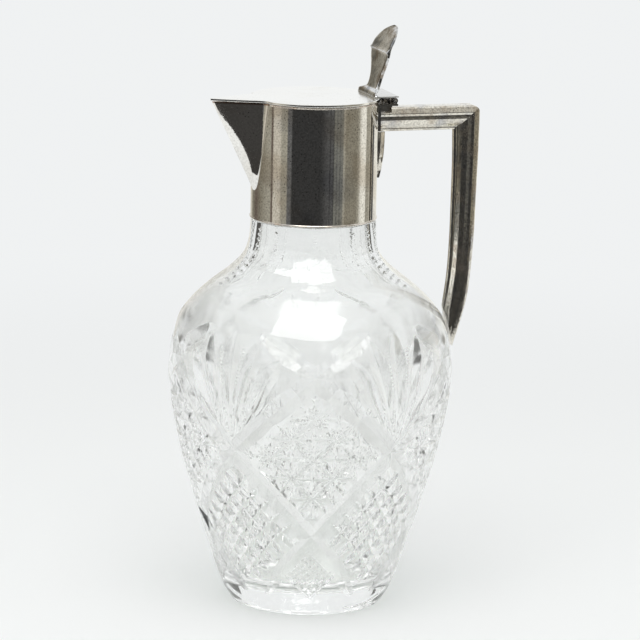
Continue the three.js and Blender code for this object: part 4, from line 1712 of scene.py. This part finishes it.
@dataclass(frozen=True)
class PlateFinish:
    """Plated metal with tarnish, fine mottling, pits, and dirt with painted shade in its recesses.

    Attributes:
        name: The material's name.
        bright: Colour of the clean plate.
        brown: Colour where it is tarnished brown.
        blue: Colour where it is tarnished blue-black.
        roughness: Roughness where it is clean and where it is tarnished.
        patches: Tarnish patches per metre.
        tarnish: How much of the tarnish shows.
        mottle: How strong the fine mottling is.
        pits: Share of the places that may hold a pit and do.
        skin: How uneven the surface is.
        recess: How dark the dirt and painted shade in the recesses are.
        worn_from: Height in metres above which the copper shows through.
    """

    name: str
    bright: Colour
    brown: Colour = (0.46, 0.37, 0.27)
    blue: Colour = (0.34, 0.36, 0.42)
    roughness: Pair = (0.06, 0.16)
    patches: float = 60.0
    tarnish: float = 0.6
    mottle: float = 0.1
    pits: float = 0.2
    skin: float = 0.05
    recess: float = 0.0
    worn_from: float = 1.0

    def pit_factor(self, tree: bpy.types.NodeTree) -> bpy.types.NodeSocket:
        """Small round dots, most of them in clusters.

        Args:
            tree: The material's nodes.

        Returns:
            A socket that is 1 in a pit.
        """
        pits_per_metre, clusters_per_metre = 850.0, 55.0
        place = tree.nodes.new("ShaderNodeTexCoord")
        cells = tree.nodes.new("ShaderNodeTexVoronoi")
        cells.inputs["Scale"].default_value = pits_per_metre
        tree.links.new(place.outputs["Object"], cells.inputs["Vector"])
        dot = ranged(tree, cells.outputs["Distance"], (0.12, 0.26), (1.0, 0.0))
        chance = tree.nodes.new("ShaderNodeSeparateColor")
        tree.links.new(cells.outputs["Color"], chance.inputs["Color"])
        chosen = arithmetic(tree, "GREATER_THAN", chance.outputs[0], 1.0 - self.pits)
        clusters = noise(tree, clusters_per_metre, 3.0, 8.1)
        here = ranged(tree, clusters, (0.42, 0.56), (0.15, 1.0))
        return arithmetic(tree, "MULTIPLY", arithmetic(tree, "MULTIPLY", dot, chosen), here)

    def recess_dirt_and_shade(self, tree: bpy.types.NodeTree) -> bpy.types.NodeSocket:
        """Dirt and painted shade where another face stands close by, found by ambient occlusion.

        Args:
            tree: The material's nodes.

        Returns:
            A socket with the share of dirt and painted shade.
        """
        hidden = tree.nodes.new("ShaderNodeAmbientOcclusion")
        hidden.inputs["Distance"].default_value = 0.0008
        hidden.samples = 6
        return ranged(tree, hidden.outputs["AO"], (0.3, 0.85), (self.recess, 0.0))

    def worn_factor(self, tree: bpy.types.NodeTree) -> bpy.types.NodeSocket:
        """Wear along the upper edge.

        Args:
            tree: The material's nodes.

        Returns:
            A socket with the copper's share.
        """
        fade, most = 0.0003, 0.8
        place = tree.nodes.new("ShaderNodeTexCoord")
        split = tree.nodes.new("ShaderNodeSeparateXYZ")
        tree.links.new(place.outputs["Object"], split.inputs["Vector"])
        levels = (self.worn_from, self.worn_from + fade)
        return ranged(tree, split.outputs["Z"], levels, (0.0, most))

    def colour(self, tree: bpy.types.NodeTree) -> bpy.types.NodeSocket:
        """Lays tarnish, specks, pits, dirt with painted shade in the recesses, and copper over the
        clean plate.

        Args:
            tree: The material's nodes.

        Returns:
            The colour's socket.
        """
        grains_per_metre = 1300.0
        shown = (0.0, self.tarnish)
        warm = ranged(tree, noise(tree, self.patches, 5.0), (0.46, 0.66), shown)
        cold = ranged(tree, noise(tree, self.patches * 0.8, 4.0, 3.7), (0.5, 0.7), shown)
        grain = noise(tree, grains_per_metre, 2.0, 1.3)
        layers = [
            (warm, self.brown),
            (cold, self.blue),
            (ranged(tree, grain, (0.36, 0.6), (self.mottle, 0.0)), SPECK),
            (self.pit_factor(tree), PIT),
        ]
        # Recesses are darkened by ambient occlusion: partly dirt, partly painted shade.
        if self.recess:
            layers.append((self.recess_dirt_and_shade(tree), RECESS_DIRT_AND_SHADE))
        layers.append((self.worn_factor(tree), COPPER))
        total: object = self.bright
        for share, layer in layers:
            total = blended(tree, "MIX", share, total, layer)
        return total

    def build(self) -> bpy.types.Material:
        """Makes the material.

        Returns:
            The material.
        """
        waves_per_metre, wave_height = 420.0, 0.0002
        material, tree = new_material(self.name)
        shader = tree.nodes["Principled BSDF"]
        shader.inputs["Metallic"].default_value = 1.0
        gloss = ranged(tree, noise(tree, self.patches, 5.0), (0.42, 0.7), self.roughness)
        bump = tree.nodes.new("ShaderNodeBump")
        bump.inputs["Strength"].default_value = self.skin
        bump.inputs["Distance"].default_value = wave_height
        tree.links.new(noise(tree, waves_per_metre, 4.0), bump.inputs["Height"])
        tree.links.new(self.colour(tree), shader.inputs["Base Color"])
        tree.links.new(gloss, shader.inputs["Roughness"])
        tree.links.new(bump.outputs["Normal"], shader.inputs["Normal"])
        return material


@dataclass(frozen=True)
class PlasterFinish:
    """Matt plaster for the neck's cement.

    Attributes:
        name: The material's name.
        dark: Colour of its darker grains.
        light: Colour of its lighter ones.
        grains: Grains per metre.
    """

    name: str = "plaster"
    dark: Colour = (0.76, 0.73, 0.66)
    light: Colour = (0.84, 0.81, 0.75)
    grains: float = 900.0

    def build(self) -> bpy.types.Material:
        """Makes the material.

        Returns:
            The material.
        """
        material, tree = new_material(self.name)
        shader = tree.nodes["Principled BSDF"]
        shader.inputs["Roughness"].default_value = 0.9
        grain = ramp(tree, noise(tree, self.grains), [(0.3, self.dark), (0.7, self.light)])
        tree.links.new(grain, shader.inputs["Base Color"])
        return material


def glow_material(name: str, colour: Colour, strength: float = 1.0) -> bpy.types.Material:
    """Material that glows in one colour.

    Args:
        name: Its name.
        colour: The colour.
        strength: How bright it is, against that colour.

    Returns:
        The material.
    """
    material, tree = new_material(name)
    glow = tree.nodes.new("ShaderNodeEmission")
    glow.inputs["Color"].default_value = (*colour, 1.0)
    glow.inputs["Strength"].default_value = strength
    tree.links.new(glow.outputs["Emission"], tree.nodes["Material Output"].inputs["Surface"])
    return material


# Stage

WHITE: Colour = (0.9, 0.88, 0.8)
CREAM: Colour = (0.6, 0.56, 0.48)
FAWN: Colour = (0.38, 0.36, 0.3)
TAN: Colour = (0.26, 0.24, 0.19)
GREY: Colour = (0.2, 0.2, 0.18)
SLATE: Colour = (0.14, 0.14, 0.14)
BROWN: Colour = (0.15, 0.12, 0.1)
DIM: Colour = (0.1, 0.1, 0.1)
BLACK: Colour = (0.04, 0.04, 0.04)


@dataclass(frozen=True)
class Studio:
    """Pale table, soft light and the dim room that the metal mirrors.

    Lengths are in metres, and angles are counted in degrees from the camera, which is at 0. A
    wide lamp lights the jug, and a flat face of its own shows in the glass and the metal.

    Attributes:
        pale: Colour of the backdrop.
        table: Colour of the table.
        table_size: Length of its sides.
        table_fade: From where to where it fades into the backdrop.
        ambient: Strength of the surroundings as light.
        mirror_sky: Their strength in mirrors.
        lamp_power: Power of the lamp, in watts.
        lamp_size: Its width and depth.
        lamp_place: Where it hangs, before the jug is turned.
        lamp_aim: Height of the place on the axis that it points at.
        bounces: How often light may bounce.
        camera_side: The camera's angle round the jug in the model's frame.
        room_radius: Radius of the room.
        room_height: Height of the screen that the collar mirrors.
        side_height: Height of the room beside the spout.
        above_height: Height of the grey room over the screen.
        table_edge: How far the pale table reaches in mirrors at the front.
        dark_glow: Brightness of the dark floor and of what shows through the front of the glass.
        grey_glow: Brightness of the room over the screen.
        dim_glow: Brightness of what shows through the sides of the glass.
        spout_side: The plain panels that stand past the spout, as (angle, tone).
        handle_side: The panels past the handle, the same way.
        softbox_corners: Corners of the lamp's mirrored face, before the jug is turned.
        softbox_glow: Brightness of that face.
    """

    pale: Colour = (0.87, 0.885, 0.89)
    table: Colour = (0.885, 0.89, 0.882)
    table_size: float = 24.0
    table_fade: Pair = (0.2, 0.8)
    ambient: float = 0.8
    mirror_sky: float = 1.1
    lamp_power: float = 9.5
    lamp_size: Pair = (1.1, 1.0)
    lamp_place: Point = (-0.02, -0.50, 1.40)
    lamp_aim: float = 0.13
    bounces: int = 32
    camera_side: float = -107.0
    room_radius: float = 0.8
    room_height: float = 0.26
    side_height: float = 0.7
    above_height: float = 0.95
    table_edge: float = 0.345
    dark_glow: Colour = (0.05, 0.048, 0.046)
    grey_glow: Colour = (0.56, 0.55, 0.52)
    dim_glow: Colour = (0.07, 0.068, 0.065)
    spout_side: tuple[tuple[float, Colour], ...] = (
        (-180, WHITE), (-155, CREAM), (-145, TAN), (-128, BROWN), (-110, TAN), (-90, FAWN),
        (-85, FAWN), (-83, BROWN), (-80, BROWN), (-79, CREAM), (-65, CREAM), (-60, FAWN),
        (-50, FAWN), (-49, SLATE), (-42, SLATE), (-40, BLACK), (0, BLACK),
    )
    handle_side: tuple[tuple[float, Colour], ...] = (
        (0, BLACK), (12, BLACK), (27, DIM), (28.5, BLACK), (30, DIM), (34, DIM), (35, BLACK),
        (36.5, GREY), (40, GREY), (41, DIM), (42.5, GREY), (46, GREY), (47, DIM), (48.5, GREY),
        (53, GREY), (54, FAWN), (57, FAWN), (58, TAN), (82, TAN), (88, FAWN), (95, WHITE),
        (107, WHITE), (108, FAWN), (119, FAWN), (120, CREAM), (128, CREAM), (130, DIM),
        (137, DIM), (139, WHITE),
    )
    softbox_corners: tuple[Point, ...] = (
        (-0.40, -0.09, 1.59), (-0.18, -0.16, 1.62), (0.28, -0.17, 1.61), (0.54, -0.18, 1.54),
        (0.50, -0.65, 1.42), (0.31, -1.27, 0.96), (-0.20, -0.98, 1.30), (-0.69, -0.61, 1.35),
    )
    softbox_glow: float = 5.0

    def world(self) -> None:
        """Pale surroundings for sight and glass, brighter in mirrors and dimmer as light."""
        world = bpy.data.worlds.new("studio")
        bpy.context.scene.world = world
        world.use_nodes = True
        tree = world.node_tree
        backdrop = tree.nodes["Background"]
        backdrop.inputs["Color"].default_value = (*self.pale, 1.0)
        path = tree.nodes.new("ShaderNodeLightPath")
        through = path.outputs["Is Transmission Ray"]
        seen = arithmetic(tree, "MAXIMUM", path.outputs["Is Camera Ray"], through)
        mirrored = arithmetic(tree, "SUBTRACT", path.outputs["Is Glossy Ray"], through)
        level = ranged(tree, seen, (0.0, 1.0), (self.ambient, 1.0))
        extra = ranged(tree, mirrored, (0.0, 1.0), (0.0, self.mirror_sky - self.ambient))
        total = tree.nodes.new("ShaderNodeMath")
        tree.links.new(level, total.inputs[0])
        tree.links.new(extra, total.inputs[1])
        tree.links.new(total.outputs[0], backdrop.inputs["Strength"])

    def floor(self) -> None:
        """Table that takes the shadow near the jug and fades to the plain backdrop."""
        bpy.ops.object.select_all(action="DESELECT")
        bpy.ops.mesh.primitive_plane_add(size=self.table_size)
        floor = named("table")
        material, tree = new_material("pale_table")
        shader = tree.nodes["Principled BSDF"]
        shader.inputs["Base Color"].default_value = (*self.table, 1.0)
        shader.inputs["Roughness"].default_value = 1.0
        shader.inputs["Specular IOR Level"].default_value = 0.0
        glow = tree.nodes.new("ShaderNodeEmission")
        glow.inputs["Color"].default_value = (*self.pale, 1.0)
        place = tree.nodes.new("ShaderNodeTexCoord")
        far = tree.nodes.new("ShaderNodeVectorMath")
        far.operation = "LENGTH"
        tree.links.new(place.outputs["Object"], far.inputs[0])
        blend = tree.nodes.new("ShaderNodeMixShader")
        share = ranged(tree, far.outputs["Value"], self.table_fade, (0.0, 1.0))
        tree.links.new(share, blend.inputs["Fac"])
        tree.links.new(shader.outputs["BSDF"], blend.inputs[1])
        tree.links.new(glow.outputs["Emission"], blend.inputs[2])
        tree.links.new(blend.outputs["Shader"], tree.nodes["Material Output"].inputs["Surface"])
        floor.data.materials.append(material)

    def room_material(self) -> bpy.types.Material:
        """Glow that changes round the jug as the room did.

        Returns:
            The material.
        """
        material, tree = new_material("dim_room")
        place = tree.nodes.new("ShaderNodeTexCoord")
        turn = tree.nodes.new("ShaderNodeMapping")
        turn.inputs["Rotation"].default_value = (0, 0, -math.radians(self.camera_side))
        split = tree.nodes.new("ShaderNodeSeparateXYZ")
        angle = tree.nodes.new("ShaderNodeMath")
        angle.operation = "ARCTAN2"
        tree.links.new(place.outputs["Object"], turn.inputs["Vector"])
        tree.links.new(turn.outputs["Vector"], split.inputs["Vector"])
        tree.links.new(split.outputs["Y"], angle.inputs[0])
        tree.links.new(split.outputs["X"], angle.inputs[1])
        sides = []
        for first, stops in ((-180.0, self.spout_side), (0.0, self.handle_side)):
            share = tree.nodes.new("ShaderNodeMapRange")
            share.inputs["From Min"].default_value = math.radians(first)
            share.inputs["From Max"].default_value = math.radians(first + 180.0)
            tree.links.new(angle.outputs[0], share.inputs["Value"])
            places = [((degrees - first) / 180.0, colour) for degrees, colour in stops]
            sides.append(ramp(tree, share.outputs["Result"], places))
        handle_half = arithmetic(tree, "GREATER_THAN", angle.outputs[0], 0.0)
        glow = tree.nodes.new("ShaderNodeEmission")
        tree.links.new(blended(tree, "MIX", handle_half, *sides), glow.inputs["Color"])
        tree.links.new(glow.outputs["Emission"], tree.nodes["Material Output"].inputs["Surface"])
        return material

    def room_part(
        self, name: str, material: bpy.types.Material, radii: Pair, levels: Pair, angles: Pair,
        in_mirrors: bool,
    ) -> None:
        """Adds a part of a wall or floor round the jug that only mirrors, or only the glass, show.

        Args:
            name: The new object's name.
            material: Its glow.
            radii: Its radius at the lower and the upper edge.
            levels: The heights of these edges.
            angles: Where it starts and ends, counted from the camera's side.
            in_mirrors: Whether mirrors show it; if not, it is seen through the glass.
        """
        bpy.ops.object.select_all(action="DESELECT")
        bpy.ops.mesh.primitive_cone_add(
            vertices=120, radius1=radii[0], radius2=radii[1], depth=levels[1] - levels[0],
            end_fill_type="NOTHING", location=(0, 0, sum(levels) / 2),
        )
        part = named(name)
        bpy.ops.object.transform_apply(location=True)

        def outside(face: bmesh.types.BMFace) -> bool:
            """Tells whether a face lies past the angles.

            Args:
                face: The face.

            Returns:
                Whether it does.
            """
            middle = face.calc_center_median()
            angle = math.degrees(math.atan2(middle.y, middle.x)) - self.camera_side
            return not angles[0] <= (angle + 180.0) % 360.0 - 180.0 <= angles[1]

        with editing(part, "FACE"):
            if pick(part, "faces", outside):
                bpy.ops.mesh.delete(type="FACE")
        part.data.materials.append(material)
        part.visible_camera = False
        part.visible_diffuse = False
        part.visible_glossy = in_mirrors
        part.visible_transmission = not in_mirrors
        part.visible_shadow = False

    def room(self) -> None:
        """The dim room: what the metal mirrors, and what shows through the glass."""
        glow = self.room_material()
        dark = glow_material("dark_floor", self.dark_glow)
        grey = glow_material("grey_room", self.grey_glow)
        dim = glow_material("dim_sides", self.dim_glow)
        front = glow_material("dim_front", self.dark_glow)
        height, wall = self.room_height, (self.room_radius, self.room_radius)
        floor = (self.table_edge, self.room_radius)
        self.room_part("room_screen", glow, wall, (0.0, height), (-180, 180), True)
        self.room_part("room_floor", dark, floor, (0.001, 0.002), (-80, 80), True)
        self.room_part("room_side", glow, wall, (height, self.side_height), (-156, -90), True)
        self.room_part("room_above", grey, wall, (height, self.above_height), (-20, 80), True)
        self.room_part("glass_sides", dim, (0.9, 0.9), (0.01, 0.34), (-140, 140), False)
        self.room_part("glass_front", front, (2.3, 2.3), (0.0, 1.9), (-80, 80), False)

    def softbox(self) -> None:
        """Large soft lamp above and in front of the jug, with the face that mirrors show."""
        turn = Matrix.Rotation(math.radians(self.camera_side + 90), 4, "Z")
        lamp = bpy.data.lights.new("softbox", "AREA")
        lamp.shape = "RECTANGLE"
        lamp.size, lamp.size_y = self.lamp_size
        lamp.energy = self.lamp_power
        holder = bpy.data.objects.new("softbox", lamp)
        bpy.context.scene.collection.objects.link(holder)
        place = turn @ Vector(self.lamp_place)
        aim = (Vector((0, 0, self.lamp_aim)) - place).to_track_quat("-Z", "Y")
        holder.matrix_world = Matrix.Translation(place) @ aim.to_matrix().to_4x4()
        holder.visible_glossy = False
        holder.visible_transmission = False
        bpy.ops.object.select_all(action="DESELECT")
        bpy.ops.mesh.primitive_circle_add(vertices=len(self.softbox_corners), fill_type="NGON")
        face = named("softbox_face")
        for vertex, corner in zip(face.data.vertices, self.softbox_corners):
            vertex.co = turn @ Vector(corner)
        cloth = glow_material("softbox_cloth", (1.0, 1.0, 1.0), self.softbox_glow)
        face.data.materials.append(cloth)
        face.visible_camera = False
        face.visible_diffuse = False
        face.visible_shadow = False

    def light_paths(self) -> None:
        """Lets light pass through both walls of the glass and bounce among its facets."""
        paths = bpy.context.scene.cycles
        paths.max_bounces = self.bounces
        paths.glossy_bounces = self.bounces
        paths.transmission_bounces = self.bounces
        paths.transparent_max_bounces = self.bounces

    def build(self) -> None:
        """Sets up the whole stage."""
        self.light_paths()
        self.world()
        self.floor()
        self.room()
        self.softbox()


@dataclass(frozen=True)
class Viewpoint:
    """Camera where the photograph was taken from, in millimetres.

    Attributes:
        distance: How far it is from the axis.
        height: How high it is above the table.
        aim_height: Height of the place on the axis that it points at.
        jug_turn: How many degrees the jug is turned before it, so that it shows its spout side.
        yaw: How far it then looks aside, in radians.
        roll: How far it leans over, in radians.
        lens: Its focal length.
    """

    distance: float = 1550.04
    height: float = 454.75
    aim_height: float = 125.457
    jug_turn: float = -17.0
    yaw: float = -0.00253
    roll: float = 0.02023
    lens: float = 202.64

    def build(self) -> None:
        """Adds the camera and makes it the scene's."""
        place = Vector((0.0, -self.distance, self.height))
        forward = (Vector((0.0, 0.0, self.aim_height)) - place).normalized()
        forward.rotate(Matrix.Rotation(self.yaw, 3, "Z"))
        right = forward.cross(Vector((0.0, 0.0, 1.0))).normalized()
        up = right.cross(forward)
        tilted_right = right * math.cos(self.roll) + up * math.sin(self.roll)
        tilted_up = up * math.cos(self.roll) - right * math.sin(self.roll)
        axes = Matrix((tilted_right, tilted_up, -forward)).transposed().to_4x4()
        camera = bpy.data.objects.new("camera", bpy.data.cameras.new("camera"))
        bpy.context.scene.collection.objects.link(camera)
        turn = Matrix.Rotation(math.radians(self.jug_turn), 4, "Z")
        camera.matrix_world = turn @ Matrix.Translation(place * MM) @ axes
        camera.data.lens = self.lens
        camera.data.clip_start, camera.data.clip_end = 0.05, 60.0
        bpy.context.scene.camera = camera


def main() -> None:
    """Builds the jug, its stage and its lights."""
    logging.basicConfig(level=logging.INFO, format="%(name)s: %(message)s")
    bpy.context.scene.view_settings.view_transform = "Standard"

    silver = PlateFinish(
        "silver", (0.88, 0.865, 0.83), roughness=(0.04, 0.11), tarnish=0.42, mottle=0.26, pits=0.6
    ).build()
    beak_silver = PlateFinish(
        "beak_silver", (0.93, 0.915, 0.88), roughness=(0.03, 0.07), tarnish=0.2, mottle=0.15,
        pits=0.3, worn_from=0.2228,
    ).build()
    polished = PlateFinish(
        "polished_silver", (0.90, 0.89, 0.86), (0.84, 0.81, 0.76), (0.86, 0.86, 0.85),
        roughness=(0.14, 0.2), tarnish=0.3, mottle=0.03, pits=0.04, skin=0.02,
    ).build()
    # The hinge leaf's plate is darker than the rest: painted shade, with its own tarnish patches
    # over it.
    cover = PlateFinish(
        "cover_silver", (0.66, 0.655, 0.64), (0.50, 0.44, 0.38), (0.45, 0.46, 0.48),
        roughness=(0.1, 0.2), patches=150.0, tarnish=0.4, mottle=0.15, pits=0.3,
    ).build()
    cast = PlateFinish(
        "cast_silver", (0.86, 0.82, 0.73), (0.50, 0.42, 0.33), (0.42, 0.43, 0.46),
        roughness=(0.10, 0.24), patches=150.0, mottle=0.35, pits=0.45, skin=0.25, recess=0.35,
    ).build()
    thumb = PlateFinish(
        "thumb_silver", (0.74, 0.745, 0.75), (0.30, 0.25, 0.20), (0.30, 0.32, 0.355),
        roughness=(0.06, 0.16), patches=165.0, tarnish=1.0, mottle=0.35, pits=0.5, skin=0.3,
        recess=0.15,
    ).build()
    dark = PlateFinish(
        "dark_silver", (0.28, 0.27, 0.26), (0.17, 0.14, 0.12), (0.19, 0.20, 0.22),
        roughness=(0.15, 0.25), patches=150.0, mottle=0.3, pits=0.4, skin=0.1,
    ).build()
    worn = PlateFinish(
        "worn_silver", (0.80, 0.74, 0.67), (0.62, 0.47, 0.35), (0.45, 0.43, 0.42),
        roughness=(0.12, 0.24), patches=200.0, mottle=0.25, skin=0.15,
    ).build()
    pin_metal = PlateFinish(
        "pin_wire", (0.52, 0.50, 0.46), (0.35, 0.31, 0.27), roughness=(0.2, 0.35), patches=300.0,
    ).build()

    body = CutGlassBody().build()
    finished(body, Body.JUG, CrystalFinish().build(), ["glass_body"], smooth_angle=8.0)
    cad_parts["neck_cement"].data.materials[0] = PlasterFinish().build()
    collar = Collar()
    collar.build(silver, worn)
    beak = Beak(collar)
    beak.build(beak_silver)
    Lid(beak).build(polished, silver, cover, thumb)
    Hinge(collar).build(dark, pin_metal)
    Handle(collar).build(cast)
    Studio().build()
    Viewpoint().build()


if __name__ == "__main__":
    main()
